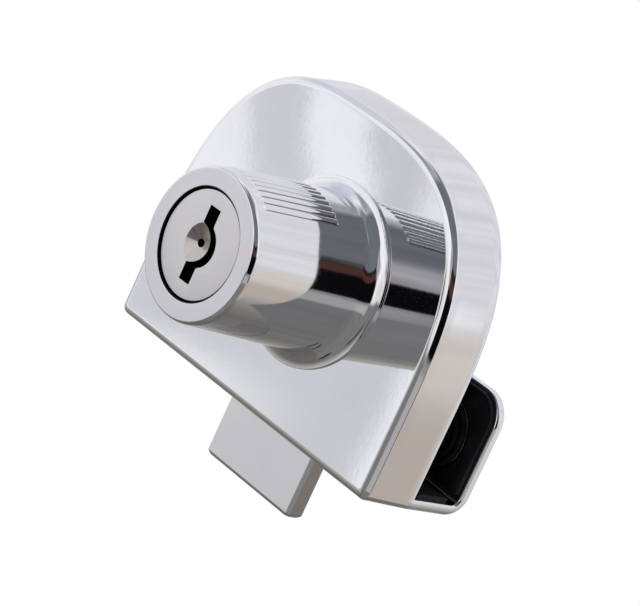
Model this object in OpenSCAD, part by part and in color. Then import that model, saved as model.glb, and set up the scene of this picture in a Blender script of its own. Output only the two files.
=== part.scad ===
// Clamp-on lock for a glass cabinet door.
// Millimetres. X runs along the glass edge, Z up from the flat edge to the arch, Y from the key to the rear.
// The origin is on the key's axis, in the plane where the glass lies against the front pad.

/* [Body] */
// Width of the body over its straight sides
body_w = 47.6; // [46:0.2:56]
// Height of the body from its flat edge to the top of the arch
body_h = 36.6; // [35:0.2:44]
// Depth of the body from its front face to the glass side
body_depth = 7.0; // [6.8:0.1:9]
// Height of the arched part of the outline
arch_h = 27.0; // [20:0.2:28]
// Distance of the arch's highest point to the left of the body's middle
arch_crown = 3.2; // [0:0.1:5]
// Squareness of the arch left of its highest point, where 2 is an ellipse
left_power = 2.7; // [2.2:0.02:3.4]
// Squareness of the arch right of its highest point
right_power = 3.1; // [2.2:0.02:3.4]
// Height of the key's axis above the flat edge
axis_rise = 18.0; // [17:0.2:22]
// Distance of the key's axis to the right of the body's middle
axis_offset = 3.5; // [0:0.1:4]
// Radius along the front edge of the body
edge_round = 1.0; // [0.4:0.1:1.3]
// Radius of the two lower corners of the outline
corner_round = 1.0; // [0.7:0.1:2]
// Outward lean of the side wall over its whole depth
flare = 0.7; // [0:0.1:1.2]
// Thickness of the front wall
front_wall = 1.6; // [1.2:0.1:1.8]
// Thickness of the side wall
side_wall = 1.7; // [1.4:0.1:2.4]

/* [Clamp] */
// Gap between the body's rear and the jaw, which holds the glass and its pads
jaw_gap = 7.0; // [6.4:0.1:10]
// Thickness of the bridge under the glass edge
bridge_t = 1.5; // [1.2:0.1:2.5]
// Thickness of the rear jaw
jaw_t = 1.4; // [1.2:0.1:3]
// Height of the rear jaw above the flat edge
jaw_h = 14.6; // [13.6:0.1:18]
// Radius of the jaw's upper corners
jaw_round = 3.6; // [1:0.1:4]
// Outer radius of the bend between bridge and jaw
bend_out = 2.6; // [1.6:0.1:3]
// Inner radius of the bend between bridge and jaw
bend_in = 0.9; // [0.4:0.1:1.2]
// Distance of each clamp screw from the body's side
clamp_side = 6.1; // [5.6:0.1:8]
// Height of the clamp screws above the flat edge
clamp_rise = 7.6; // [7.4:0.1:8.6]
// Diameter of the screw boss on the jaw
boss_d = 9.6; // [7:0.1:11]
// Height of the screw boss over the jaw
boss_h = 1.6; // [0.8:0.1:3]
// Radius round the rim of the screw boss
boss_edge = 0.6; // [0.2:0.1:0.7]

/* [Clamp screws and feet] */
// Thread diameter of the clamp screws
clamp_screw_d = 5.0; // [4:0.1:6]
// Length of the clamp screws without their tips
clamp_screw_l = 4.6; // [4:0.1:7]
// Chamfer round the rear end of the clamp screws
clamp_screw_chamfer = 0.4; // [0.2:0.1:0.6]
// Width across flats of the hexagon socket
socket_af = 2.5; // [2:0.1:2.8]
// Depth of the hexagon socket
socket_depth = 2.4; // [1:0.1:3]
// Diameter of the screw tip that swivels in the foot
tip_d = 2.4; // [1.6:0.1:3]
// Diameter of the round feet
foot_d = 8.6; // [7.6:0.1:9.4]
// Thickness of the steel foot
foot_t = 0.6; // [0.5:0.1:0.8]
// Thickness of the rubber on the foot
foot_rubber_t = 0.7; // [0.5:0.1:0.8]
// Number of raised rings on the foot's rubber
foot_rings = 3; // [2:1:4]
// Height of the raised rings
foot_ring_h = 0.25; // [0.1:0.05:0.3]
// Width of a raised ring's flat top
foot_ring_top = 0.25; // [0.15:0.05:0.35]
// Width of a raised ring's slanted flank
foot_ring_flank = 0.2; // [0.1:0.05:0.25]
// Thickness of the glass that the feet hold as drawn
glass_t = 5.0; // [4.8:0.1:5.1]

/* [Pads] */
// Thickness of the rubber pad between body and glass
front_pad_t = 0.6; // [0.4:0.1:1]
// Thickness of the rubber strip under the glass edge
edge_pad_t = 0.6; // [0.4:0.1:1]
// Thickness of the rubber pad on the jaw
rear_pad_t = 0.6; // [0.4:0.1:0.8]
// Distance of each pad from the metal's outline
pad_margin = 0.5; // [0.2:0.1:1.5]

/* [Knob] */
// Length of the knob from the body's face to its own front face
knob_l = 18.2; // [16:0.2:22]
// Diameter of the flat front face
knob_face_d = 16.5; // [15.5:0.1:16.8]
// Diameter of the knob behind its rounded front edge
knob_front_d = 17.3; // [17:0.1:17.6]
// Diameter of the knob in front of its cove
knob_rear_d = 18.3; // [18:0.1:19]
// Diameter of the foot that stands on the body
knob_foot_d = 21.8; // [21:0.1:23]
// Thickness of the foot's rim
knob_foot_t = 0.3; // [0.2:0.1:0.6]
// Length of the concave cove along the axis
cove_l = 2.0; // [1.2:0.1:3]
// Length of the rounded front edge along the axis
knob_edge_l = 0.9; // [0.4:0.1:1.4]
// Diameter of the spigot that passes through the body's front wall
spigot_d = 12.4; // [12:0.1:13]
// Number of grip ribs along the top of the knob
rib_count = 13; // [5:2:13]
// Angle between neighbouring ribs
rib_pitch = 5.8; // [5:0.1:6.4]
// Width of a grip rib
rib_w = 0.62; // [0.4:0.02:0.7]
// Height of a grip rib over the knob
rib_h = 0.24; // [0.1:0.02:0.28]
// Distance of the ribs from the knob's front face
rib_start = 1.3; // [1:0.1:3]
// Length of the ribs
rib_l = 11.4; // [8:0.2:12]
// Distance of the knob's fixing screws from the axis
knob_screw_r = 7.85; // [7.8:0.05:7.9]
// Diameter of the knob's fixing screws
knob_screw_d = 1.8; // [1.4:0.1:1.8]
// Length of the knob's fixing screws
knob_screw_l = 5.0; // [4:0.2:7]
// Head diameter of the knob's fixing screws
knob_screw_head_d = 3.3; // [3:0.1:3.5]
// Head height of the knob's fixing screws
knob_screw_head_t = 0.9; // [0.6:0.1:1]

/* [Key plug] */
// Diameter of the plug's head, which shows in the knob's face
plug_head_d = 12.4; // [12:0.1:13]
// Length of the plug's head
plug_head_l = 2.0; // [1.5:0.1:2.4]
// Depth of the plug's face below the knob's face
plug_recess = 0.25; // [0.1:0.05:0.6]
// Diameter of the plug's barrel
barrel_d = 10.0; // [9.8:0.1:10.4]
// Width of the two straight parts of the keyway
keyway_w = 1.8; // [1.2:0.05:2]
// Height of the whole keyway
keyway_h = 8.7; // [7.6:0.1:8.8]
// Outer diameter of the keyway's crescent
crescent_d = 5.0; // [4.6:0.1:5.2]
// Distance from the key's axis to the inner side of the crescent
crescent_inner = 1.0; // [0.8:0.05:1.1]
// Depth of the keyway
keyway_depth = 15.5; // [14.8:0.1:16]
// Diameter of the polished dimple beside the keyway
dimple_d = 4.8; // [4:0.1:4.9]
// Depth of the polished dimple
dimple_depth = 1.0; // [0.5:0.1:1.4]
// Diameter of the drilled point in the dimple
dimple_point_d = 1.2; // [0.5:0.1:1.3]
// Depth of the drilled point below the plug's face
dimple_point_depth = 1.6; // [1.5:0.1:2]
// Width of the plug's square tail
tail_w = 3.6; // [3.2:0.1:3.8]

/* [Wafers] */
// Number of wafers
wafer_count = 5; // [3:1:5]
// Distance from one wafer to the next
wafer_pitch = 2.2; // [2:0.1:2.3]
// Distance of the first wafer behind the plug's face
wafer_start = 3.6; // [3:0.1:4]
// Thickness of a wafer
wafer_t = 1.0; // [0.8:0.05:1.1]
// Width of a wafer
wafer_w = 5.6; // [5.5:0.05:5.7]
// Height of a wafer when the key holds it flush
wafer_h = 7.8; // [7.6:0.05:8]
// Height of the lug that a spring lifts
wafer_lug_h = 0.9; // [0.6:0.1:1.2]
// Reach of the lug beyond the wafer's side
wafer_lug_w = 1.0; // [0.8:0.05:1.05]
// Diameter of a wafer spring
wafer_spring_d = 0.8; // [0.6:0.05:0.9]
// Length of a wafer spring
wafer_spring_l = 2.4; // [2:0.1:2.6]
// Depth of the grooves in the knob that wafers lock into
locking_groove = 1.2; // [0.8:0.1:1.3]

/* [Driver] */
// Travel of the bolt in half a turn of the key
throw = 8.0; // [6:0.2:8]
// Diameter of the driving pin
pin_d = 2.8; // [2.4:0.1:2.8]
// Thickness of the driver disc
driver_t = 1.2; // [1:0.05:1.3]
// Metal of the driver disc outside its pin
driver_rim = 0.4; // [0.2:0.1:0.5]
// Diameter of the tail screw's head
tail_screw_head_d = 4.8; // [4.4:0.1:5]
// Thickness of the tail screw's head
tail_screw_head_t = 0.5; // [0.3:0.05:0.55]
// Diameter of the tail screw's thread
tail_screw_d = 2.0; // [1.4:0.1:2.2]
// Length of the tail screw's thread
tail_screw_l = 4.0; // [2:0.2:4.4]

/* [Bolt] */
// Width of the bolt
bolt_w = 16.0; // [15:0.1:16.4]
// Thickness of the bolt
bolt_t = 2.6; // [2.2:0.1:2.7]
// Reach of the bolt beyond the body's flat edge when it is out
bolt_reach = 8.3; // [8:0.1:10]
// Chamfer round the bolt's end and along its edges
bolt_chamfer = 0.4; // [0.1:0.05:0.6]
// Height of the bolt above the centre of its cam slot
bolt_top = 4.6; // [4:0.2:5.4]

/* [Back plate] */
// Thickness of the back plate
plate_t = 0.7; // [0.5:0.05:0.8]
// Width of the body's rim round the back plate
plate_rim = 1.2; // [1:0.1:1.3]
// Distance of the two lower plate screws from the body's sides
lower_screw_side = 4.3; // [4.3:0.1:6]
// Height of the two lower plate screws above the flat edge
lower_screw_rise = 5.0; // [4.6:0.2:8]
// Distance of the two upper plate screws from the body's sides
upper_screw_side = 8.8; // [7.8:0.1:9.3]
// Height of the two upper plate screws above the flat edge
upper_screw_rise = 27.0; // [24:0.2:27]
// Thread diameter of the plate screws
plate_screw_d = 1.8; // [1.4:0.1:2]
// Head diameter of the plate screws
plate_screw_head_d = 3.2; // [2.8:0.1:3.4]
// Length of the plate screws
plate_screw_l = 3.6; // [2.6:0.1:4]
// Diameter of the bosses that take the plate screws
plate_boss_d = 4.2; // [3.8:0.1:4.4]
// Thickness of the two ribs that guide the bolt
guide_t = 1.2; // [0.8:0.1:1.4]

/* [Fits] */
// Radial clearance of what turns in a bore
running_fit = 0.05; // [0.02:0.01:0.08]
// Clearance on each side of what slides
sliding_fit = 0.12; // [0.08:0.01:0.2]
// Clearance between fixed pieces that are pushed together
assembly_fit = 0.04; // [0.02:0.01:0.08]
// Axial gap between moving pieces
end_gap = 0.1; // [0.05:0.01:0.12]

/* [Hidden] */
$fn = 64;

// Planes across the Y axis, from the key to the rear
body_rear = -front_pad_t;
body_front = body_rear - body_depth;
knob_face = body_front - knob_l;
plug_face = knob_face + plug_recess;
wall_inner = body_front + front_wall;
plate_front = body_rear - plate_t;
bolt_rear = plate_front - end_gap;
bolt_front = bolt_rear - bolt_t;
driver_front = wall_inner + end_gap;
driver_rear = driver_front + driver_t;
pin_end = plate_front - 2 * end_gap;
jaw_inner = body_rear + jaw_gap;
jaw_outer = jaw_inner + jaw_t;
rear_pad_face = jaw_inner - rear_pad_t;
foot_face = glass_t;
foot_steel_front = foot_face + foot_rubber_t;
foot_rear = foot_steel_front + foot_t;

// Heights and widths across the body
flat_edge = -axis_rise;
shoulder = flat_edge + body_h - arch_h;
half_w = body_w / 2;
bridge_top = flat_edge + bridge_t;
edge_pad_top = bridge_top + edge_pad_t;
jaw_top = flat_edge + jaw_h;
clamp_z = flat_edge + clamp_rise;
clamp_spacing = body_w - 2 * clamp_side;
left_clamp_x = -axis_offset - clamp_spacing / 2;
right_clamp_x = -axis_offset + clamp_spacing / 2;
lower_screw_spacing = body_w - 2 * lower_screw_side;
upper_screw_spacing = body_w - 2 * upper_screw_side;
crank = throw / 2;
driver_r = crank + pin_d / 2 + driver_rim;
slot_r = pin_d / 2 + sliding_fit;
bolt_end = flat_edge - bolt_reach;
bolt_head = -crank + bolt_top;
bolt_room_top = bolt_head + throw + 2 * end_gap;
barrel_r = barrel_d / 2;
bore_r = barrel_r + running_fit;
plug_shoulder = knob_face + plug_recess + plug_head_l;
keyway_bottom = plug_face + keyway_depth;
spring_x = (wafer_w + wafer_lug_w) / 2;
knob_screw_places = [[-knob_screw_r, 0], [knob_screw_r, 0]];
plate_screw_places = [
    [-axis_offset - lower_screw_spacing / 2, flat_edge + lower_screw_rise],
    [-axis_offset + lower_screw_spacing / 2, flat_edge + lower_screw_rise],
    [-axis_offset - upper_screw_spacing / 2, flat_edge + upper_screw_rise],
    [-axis_offset + upper_screw_spacing / 2, flat_edge + upper_screw_rise]];

// Excess of a cut over the face that it opens
past = 0.5;
// Depth by which two forms of one piece run into each other
overlap = 0.1;
// Angle between neighbouring points of the arch
arch_step = 3.75;
// Largest angle between neighbouring points of a rounded corner
arc_step = 15;
// Angle between neighbouring rings round the body's front edge
edge_step = 22.5;
// Angle of key turn between neighbouring points of the cam slot
cam_step = 7.5;
// Least radius that a lower corner of the outline keeps when it is drawn in
least_round = 0.3;
// Span of a cross recess, in widths of its arms
recess_arms = 5;
// Facets round a grip rib
rib_fn = 24;

// A power of a sine or cosine that keeps its sign
function signed_power(v, p) = sign(v) * pow(abs(v), p);

// Points of an arc round a centre, between two angles
function arc(centre, r, from, to) =
    let (steps = ceil(abs(to - from) / arc_step))
    [for (i = [0 : steps]) let (a = from + (to - from) * i / steps) centre + r * [cos(a), sin(a)]];

// The body's outline in X and Z, drawn in from its sides and from its flat edge
function outline(side_in, edge_in) =
    let (w = half_w - side_in, h = arch_h - side_in, low = flat_edge + edge_in,
        r = max(least_round, corner_round - max(side_in, 0)))
    [for (p = concat(
        [for (a = [0 : arch_step : 180])
            let (power = a < 90 ? right_power : left_power, reach = a < 90 ? w + arch_crown : w - arch_crown)
            [reach * signed_power(cos(a), 2 / power) - arch_crown,
                shoulder + h * pow(max(sin(a), 0), 2 / power)]],
        arc([-w + r, low + r], r, 180, 270),
        arc([w - r, low + r], r, 270, 360))) p - [axis_offset, 0]];

// A solid through outlines of equal point count, each at its own Y
module loft(rings) {
    n = len(rings[0][1]);
    last = len(rings) - 1;
    points = [for (ring = rings) for (p = ring[1]) [p[0], ring[0], p[1]]];
    sides = [for (k = [0 : last - 1]) for (i = [0 : n - 1]) let (j = (i + 1) % n)
        [k * n + i, k * n + j, (k + 1) * n + j, (k + 1) * n + i]];
    front = [for (i = [n - 1 : -1 : 0]) i];
    rear = [for (i = [0 : n - 1]) last * n + i];
    polyhedron(points, concat(sides, [front], [rear]));
}

// A shape drawn in X and Z, given thickness from one Y to another
module slab(from, to) {
    translate([0, to, 0]) rotate([90, 0, 0]) linear_extrude(to - from) children();
}

// A shape drawn in Y and Z, given length from one X to another
module bar(from, to) {
    translate([from, 0, 0]) rotate([90, 0, 90]) linear_extrude(to - from) children();
}

// A round bar along Y, at a place in X and Z
module rod(place, d, from, to) {
    translate([place[0], from, place[1]]) rotate([-90, 0, 0]) cylinder(d = d, h = to - from);
}

// A cone along Y, at a place in X and Z
module cone(place, d_from, d_to, from, to) {
    translate([place[0], from, place[1]]) rotate([-90, 0, 0]) cylinder(d1 = d_from, d2 = d_to, h = to - from);
}

// A turned solid round the Y axis, from points of radius and Y
module turned(points) {
    rotate([90, 0, 0]) rotate_extrude() polygon([for (p = points) [p[0], -p[1]]]);
}

// A block between two corners
module block(low, high) {
    translate(low) cube(high - low);
}

// A rectangle with its own radius at the upper and at the lower corners
module rounded_panel(half, low, high, r_low, r_high) {
    polygon(concat(
        arc([half - r_high, high - r_high], r_high, 0, 90),
        arc([-half + r_high, high - r_high], r_high, 90, 180),
        arc([-half + r_low, low + r_low], r_low, 180, 270),
        arc([half - r_low, low + r_low], r_low, 270, 360)));
}

// The body's outer form: a rounded front edge, then a wall that leans outwards
module body_form() {
    edge = [for (a = [0 : edge_step : 90])
        let (inset = edge_round * (1 - sin(a)))
        [body_front + edge_round * (1 - cos(a)), outline(inset, inset)]];
    loft(concat(edge, [[body_rear, outline(-flare, 0)]]));
}

// The bridge under the glass edge and the jaw behind the glass, with a rounded bend
module clamp_profile() {
    start = body_rear - past;
    union() {
        difference() {
            translate([start, flat_edge]) square([jaw_outer - start, jaw_h]);
            translate([start - past, bridge_top]) square([jaw_inner - start + past, jaw_h]);
            translate([jaw_outer - bend_out, flat_edge - past]) square([bend_out + past, bend_out + past]);
        }
        translate([jaw_inner - bend_in, bridge_top]) difference() {
            square([bend_in, bend_in]);
            translate([0, bend_in]) circle(bend_in);
        }
        intersection() {
            translate([jaw_outer - bend_out, flat_edge + bend_out]) circle(bend_out);
            difference() {
                translate([jaw_outer - bend_out, flat_edge]) square([bend_out, bend_out]);
                translate([jaw_inner - jaw_t, bridge_top]) square([jaw_t, bend_out]);
            }
        }
    }
}

// The clamp cut to the front view of the jaw
module clamp_form() {
    half = half_w + flare;
    intersection() {
        translate([-axis_offset, 0]) bar(-half, half) clamp_profile();
        translate([-axis_offset, 0, 0]) slab(body_rear - past, jaw_outer)
            rounded_panel(half, flat_edge, jaw_top, corner_round, jaw_round);
    }
}

// A boss with a rounded rim behind the jaw for one clamp screw
module clamp_boss(x) {
    top = jaw_outer + boss_h;
    r = boss_d / 2;
    translate([x, 0, clamp_z]) turned(concat(
        [[0, jaw_inner], [r, jaw_inner]],
        [for (a = [0 : arc_step : 90]) [r - boss_edge * (1 - cos(a)), top - boss_edge * (1 - sin(a))]],
        [[0, top]]));
}

// The room inside the body for the bolt and the driver, with its guides and screw bosses left standing
module body_room() {
    guide_x = bolt_w / 2 + sliding_fit;
    difference() {
        slab(wall_inner, plate_front) polygon(outline(side_wall, bridge_t + guide_t));
        for (side = [-1, 1]) {
            low_x = side > 0 ? guide_x : -guide_x - guide_t;
            block([low_x, wall_inner - past, flat_edge],
                [low_x + guide_t, plate_front + past, bolt_room_top]);
        }
        for (place = plate_screw_places) rod(place, plate_boss_d, wall_inner - past, plate_front + past);
    }
}

module lock_body() {
    window = bolt_w / 2 + sliding_fit;
    color("silver") difference() {
        union() {
            body_form();
            clamp_form();
            for (x = [left_clamp_x, right_clamp_x]) clamp_boss(x);
        }
        body_room();
        block([-window, bolt_front - end_gap, flat_edge - past],
            [window, plate_front, bolt_room_top]);
        slab(plate_front, body_rear + past) polygon(outline(plate_rim, bridge_t));
        rod([0, 0], spigot_d + 2 * assembly_fit, body_front - past, wall_inner + past);
        for (place = knob_screw_places) {
            rod(place, knob_screw_d + 2 * sliding_fit, body_front - past, wall_inner + past);
            rod(place, knob_screw_head_d + 2 * sliding_fit, wall_inner, plate_front + past);
        }
        for (place = plate_screw_places)
            rod(place, plate_screw_d, plate_front - plate_screw_l, plate_front + past);
        for (x = [left_clamp_x, right_clamp_x])
            rod([x, clamp_z], clamp_screw_d + 2 * running_fit,
                jaw_inner - past, jaw_outer + boss_h + past);
    }
}

// One rounded grip rib that follows the taper of the knob
module grip_rib() {
    slope = atan((knob_rear_d - knob_front_d) / 2 / (knob_l - knob_edge_l - cove_l));
    r = rib_w / 2;
    front_r = knob_front_d / 2 + (rib_start + r - knob_edge_l) * tan(slope);
    translate([0, knob_face + rib_start + r, front_r + rib_h - r]) rotate([slope, 0, 0]) rotate([-90, 0, 0]) {
        cylinder(r = r, h = rib_l - rib_w, $fn = rib_fn);
        sphere(r, $fn = rib_fn);
        translate([0, 0, rib_l - rib_w]) sphere(r, $fn = rib_fn);
    }
}

// The outside of the knob: rounded front edge, slight taper, cove and a thin rim on the body
module knob_form() {
    face_r = knob_face_d / 2;
    front_r = knob_front_d / 2;
    rear_r = knob_rear_d / 2;
    foot_r = knob_foot_d / 2;
    cove_start = body_front - knob_foot_t - cove_l;
    turned(concat(
        [[0, knob_face], [face_r, knob_face]],
        [for (a = [arc_step : arc_step : 90])
            [face_r + (front_r - face_r) * sin(a), knob_face + knob_edge_l * (1 - cos(a))]],
        [for (a = [0 : arc_step : 90])
            [foot_r - (foot_r - rear_r) * cos(a), cove_start + cove_l * sin(a)]],
        [[foot_r, body_front], [0, body_front]]));
}

module cylinder_housing() {
    groove_w = wafer_w + 2 * sliding_fit;
    groove_h = wafer_h / 2 + locking_groove;
    first = plug_face + wafer_start - wafer_t;
    last = plug_face + wafer_start + wafer_count * wafer_pitch;
    color("lightgray") difference() {
        union() {
            knob_form();
            rod([0, 0], spigot_d, body_front - past, wall_inner);
            for (i = [0 : rib_count - 1])
                rotate([0, (i - (rib_count - 1) / 2) * rib_pitch, 0]) grip_rib();
        }
        rod([0, 0], plug_head_d + 2 * running_fit, knob_face - past, plug_shoulder);
        rod([0, 0], 2 * bore_r, knob_face, wall_inner + past);
        block([-groove_w / 2, first, -groove_h], [groove_w / 2, last, groove_h]);
        for (place = knob_screw_places)
            rod(place, knob_screw_d, body_front - knob_screw_l, body_front + past);
    }
}

// A cross recess in a screw head that faces the rear
module cross_recess(place, w, top, depth) {
    arm = w / recess_arms;
    for (size = [[w, arm], [arm, w]])
        block([place[0] - size[0] / 2, top - depth, place[1] - size[1] / 2],
            [place[0] + size[0] / 2, top + past, place[1] + size[1] / 2]);
}

module housing_screws() {
    tip = wall_inner - knob_screw_l;
    color("gainsboro") for (place = knob_screw_places) difference() {
        union() {
            rod(place, knob_screw_d - 2 * assembly_fit, tip, wall_inner + overlap);
            rod(place, knob_screw_head_d, wall_inner, wall_inner + knob_screw_head_t);
        }
        cross_recess(place, knob_screw_head_d / 2, wall_inner + knob_screw_head_t, knob_screw_head_t / 2);
    }
}

// The keyway in X and Z: two straight parts joined by a crescent.
// The crescent's inner side is one arc from the left side of the upper part to that of the lower part.
module keyway_shape() {
    half = keyway_w / 2;
    end_z = sqrt(pow(crescent_d / 2, 2) - half * half);
    rise = crescent_inner + half;
    inner_r = (end_z * end_z + rise * rise) / (2 * rise);
    difference() {
        union() {
            translate([-half, -keyway_h / 2]) square([keyway_w, keyway_h]);
            intersection() {
                circle(d = crescent_d);
                translate([0, -crescent_d]) square(2 * crescent_d);
            }
        }
        translate([crescent_inner - inner_r, 0]) circle(inner_r);
    }
}

module key_plug() {
    lug_room = 2 * sliding_fit;
    slot_w = wafer_w + 2 * sliding_fit;
    slot_t = wafer_t + sliding_fit;
    color("silver") difference() {
        union() {
            rod([0, 0], plug_head_d, plug_face, plug_shoulder - end_gap);
            rod([0, 0], barrel_d, plug_face, wall_inner + end_gap / 2);
            block([-tail_w / 2, wall_inner - past, -tail_w / 2],
                [tail_w / 2, driver_rear - end_gap, tail_w / 2]);
        }
        slab(plug_face - past, keyway_bottom) keyway_shape();
        cone([0, 0], dimple_d, 0, plug_face, plug_face + dimple_depth);
        rod([0, 0], dimple_point_d, plug_face - past, plug_face + dimple_point_depth);
        for (i = [0 : wafer_count - 1]) {
            y = plug_face + wafer_start + i * wafer_pitch;
            block([-slot_w / 2, y - slot_t, -barrel_d], [slot_w / 2, y, barrel_d]);
            block([0, y - slot_t, -lug_room], [spring_x + wafer_lug_w / 2 + sliding_fit, y, wafer_h / 2]);
            translate([spring_x, y - slot_t / 2, -wafer_spring_l - lug_room])
                cylinder(d = wafer_spring_d + sliding_fit, h = wafer_spring_l + 2 * lug_room);
        }
        rod([0, 0], tail_screw_d, driver_rear - tail_screw_l, driver_rear + past);
    }
}

module wafers() {
    window_w = keyway_w + 2 * sliding_fit;
    color("goldenrod") for (i = [0 : wafer_count - 1]) {
        y = plug_face + wafer_start + i * wafer_pitch - sliding_fit / 2;
        slab(y - wafer_t, y) difference() {
            union() {
                translate([-wafer_w / 2, -wafer_h / 2]) square([wafer_w, wafer_h]);
                translate([0, sliding_fit]) square([spring_x + wafer_lug_w / 2, wafer_lug_h]);
            }
            translate([-window_w / 2, -wafer_h / 2 + wafer_t]) square([window_w, wafer_h - 2 * wafer_t]);
            circle(d = crescent_d + sliding_fit);
        }
    }
}

module wafer_springs() {
    color("dimgray") for (i = [0 : wafer_count - 1]) {
        y = plug_face + wafer_start + i * wafer_pitch - (wafer_t + sliding_fit) / 2;
        translate([spring_x, y, sliding_fit - wafer_spring_l])
            cylinder(d = wafer_spring_d, h = wafer_spring_l);
    }
}

module driver_disc() {
    hole = tail_w + 2 * assembly_fit;
    color("darkgray") difference() {
        union() {
            rod([0, 0], 2 * driver_r, driver_front, driver_rear);
            rod([0, -crank], pin_d, driver_front, pin_end);
        }
        block([-hole / 2, driver_front - past, -hole / 2], [hole / 2, driver_rear + past, hole / 2]);
    }
}

module tail_screw() {
    color("gainsboro") difference() {
        union() {
            rod([0, 0], tail_screw_head_d, driver_rear, driver_rear + tail_screw_head_t);
            rod([0, 0], tail_screw_d - 2 * assembly_fit,
                driver_rear + overlap - tail_screw_l, driver_rear + overlap);
        }
        cross_recess([0, 0], tail_screw_head_d / 2, driver_rear + tail_screw_head_t, tail_screw_head_t / 2);
    }
}

// The slot that turns an even turn of the key into an even travel of the bolt.
// The pin's path, seen from the moving bolt, runs out below the slot's middle and back above it.
module cam_slot() {
    rise = 2 * crank / 180;
    turn_rate = 2 / PI;
    path = [for (a = [0 : cam_step : 180])
        let (x = -crank * sin(a), z = crank * (1 - cos(a)) - rise * a,
            along = [-cos(a), sin(a) - turn_rate] / norm([-cos(a), sin(a) - turn_rate]))
        [x, z] + slot_r * [-along[1], along[0]]];
    corner = atan2(1, turn_rate);
    polygon(concat(path, arc([0, 0], slot_r, corner, -corner)));
}

module lock_bolt() {
    half = bolt_w / 2;
    c = bolt_chamfer;
    color("lightsteelblue") difference() {
        intersection() {
            slab(bolt_front, bolt_rear) polygon([
                [-half + c, bolt_end], [half - c, bolt_end],
                [half, bolt_end + c], [half, bolt_head - c],
                [half - c, bolt_head], [-half + c, bolt_head],
                [-half, bolt_head - c], [-half, bolt_end + c]]);
            bar(-half, half) polygon([
                [bolt_front + c, bolt_end], [bolt_rear - c, bolt_end], [bolt_rear, bolt_end + c],
                [bolt_rear, bolt_head], [bolt_front, bolt_head], [bolt_front, bolt_end + c]]);
            translate([0, 0, bolt_end]) linear_extrude(bolt_head - bolt_end) polygon([
                [-half + c, bolt_front], [half - c, bolt_front],
                [half, bolt_front + c], [half, bolt_rear - c],
                [half - c, bolt_rear], [-half + c, bolt_rear],
                [-half, bolt_rear - c], [-half, bolt_front + c]]);
        }
        translate([0, 0, -crank]) slab(bolt_front - past, bolt_rear + past) cam_slot();
    }
}

module back_plate() {
    color("silver") difference() {
        slab(plate_front, body_rear) intersection() {
            polygon(outline(plate_rim + assembly_fit, bridge_t));
            translate([-body_w, bridge_top + assembly_fit]) square([2 * body_w, body_h]);
        }
        for (place = plate_screw_places) {
            rod(place, plate_screw_d + 2 * assembly_fit, plate_front - past, body_rear + past);
            cone(place, plate_screw_d + 2 * assembly_fit, plate_screw_head_d + 2 * assembly_fit,
                plate_front, body_rear);
        }
    }
}

module back_plate_screws() {
    color("gainsboro") for (place = plate_screw_places) difference() {
        union() {
            cone(place, plate_screw_d, plate_screw_head_d, plate_front, body_rear);
            rod(place, plate_screw_d - 2 * assembly_fit, body_rear - plate_screw_l, plate_front + overlap);
        }
        cross_recess(place, plate_screw_head_d / 2, body_rear, plate_t / 2);
    }
}

module front_pad() {
    color("dimgray") slab(body_rear, 0) intersection() {
        polygon(outline(pad_margin - flare, 0));
        translate([-body_w, edge_pad_top + end_gap]) square([2 * body_w, body_h]);
    }
}

module edge_pad() {
    half = half_w + flare - pad_margin;
    color("dimgray") block([-axis_offset - half, end_gap, bridge_top],
        [-axis_offset + half, foot_face - end_gap, edge_pad_top]);
}

module rear_pad() {
    half = half_w + flare - pad_margin;
    low = bridge_top + bend_in + end_gap;
    color("dimgray") difference() {
        translate([-axis_offset, 0, 0]) slab(rear_pad_face, jaw_inner)
            rounded_panel(half, low, jaw_top - pad_margin, pad_margin, jaw_round - pad_margin);
        for (x = [left_clamp_x, right_clamp_x])
            rod([x, clamp_z], foot_d + 4 * end_gap, rear_pad_face - past, jaw_inner + past);
    }
}

module clamp_screw(x) {
    place = [x, clamp_z];
    end = foot_rear + clamp_screw_l;
    chamfer_start = end - clamp_screw_chamfer;
    color("darkgray") difference() {
        union() {
            rod(place, clamp_screw_d, foot_rear, chamfer_start);
            cone(place, clamp_screw_d, clamp_screw_d - 2 * clamp_screw_chamfer, chamfer_start, end);
            rod(place, tip_d, foot_steel_front, foot_rear + past);
        }
        translate([x, end - socket_depth, clamp_z]) rotate([-90, 0, 0])
            cylinder(d = socket_af / cos(30), h = socket_depth + past, $fn = 6);
    }
}

module left_clamp_screw() {
    clamp_screw(left_clamp_x);
}

module right_clamp_screw() {
    clamp_screw(right_clamp_x);
}

module foot(x) {
    place = [x, clamp_z];
    color("silver") difference() {
        rod(place, foot_d, foot_steel_front, foot_rear);
        rod(place, tip_d + 2 * running_fit, foot_steel_front - past, foot_rear + past);
    }
}

module left_foot() {
    foot(left_clamp_x);
}

module right_foot() {
    foot(right_clamp_x);
}

// The rubber face of a foot, with raised rings inside its raised rim
module foot_rubber(x) {
    ring_step = foot_d / 2 / (foot_rings + 1);
    base = foot_face + foot_ring_h;
    color("dimgray") translate([x, 0, clamp_z]) turned(concat(
        [[0, foot_steel_front], [foot_d / 2, foot_steel_front]],
        [for (i = [foot_rings + 1 : -1 : 1]) let (r = ring_step * i, rim = i > foot_rings) each [
            if (!rim) [r + foot_ring_flank, base],
            [r, foot_face],
            [r - foot_ring_top, foot_face],
            [r - foot_ring_top - foot_ring_flank, base]]],
        [[0, base]]));
}

module left_foot_rubber() {
    foot_rubber(left_clamp_x);
}

module right_foot_rubber() {
    foot_rubber(right_clamp_x);
}

lock_body();
cylinder_housing();
housing_screws();
key_plug();
wafers();
wafer_springs();
driver_disc();
tail_screw();
lock_bolt();
back_plate();
back_plate_screws();
front_pad();
edge_pad();
rear_pad();
left_clamp_screw();
right_clamp_screw();
left_foot();
right_foot();
left_foot_rubber();
right_foot_rubber();
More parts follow.
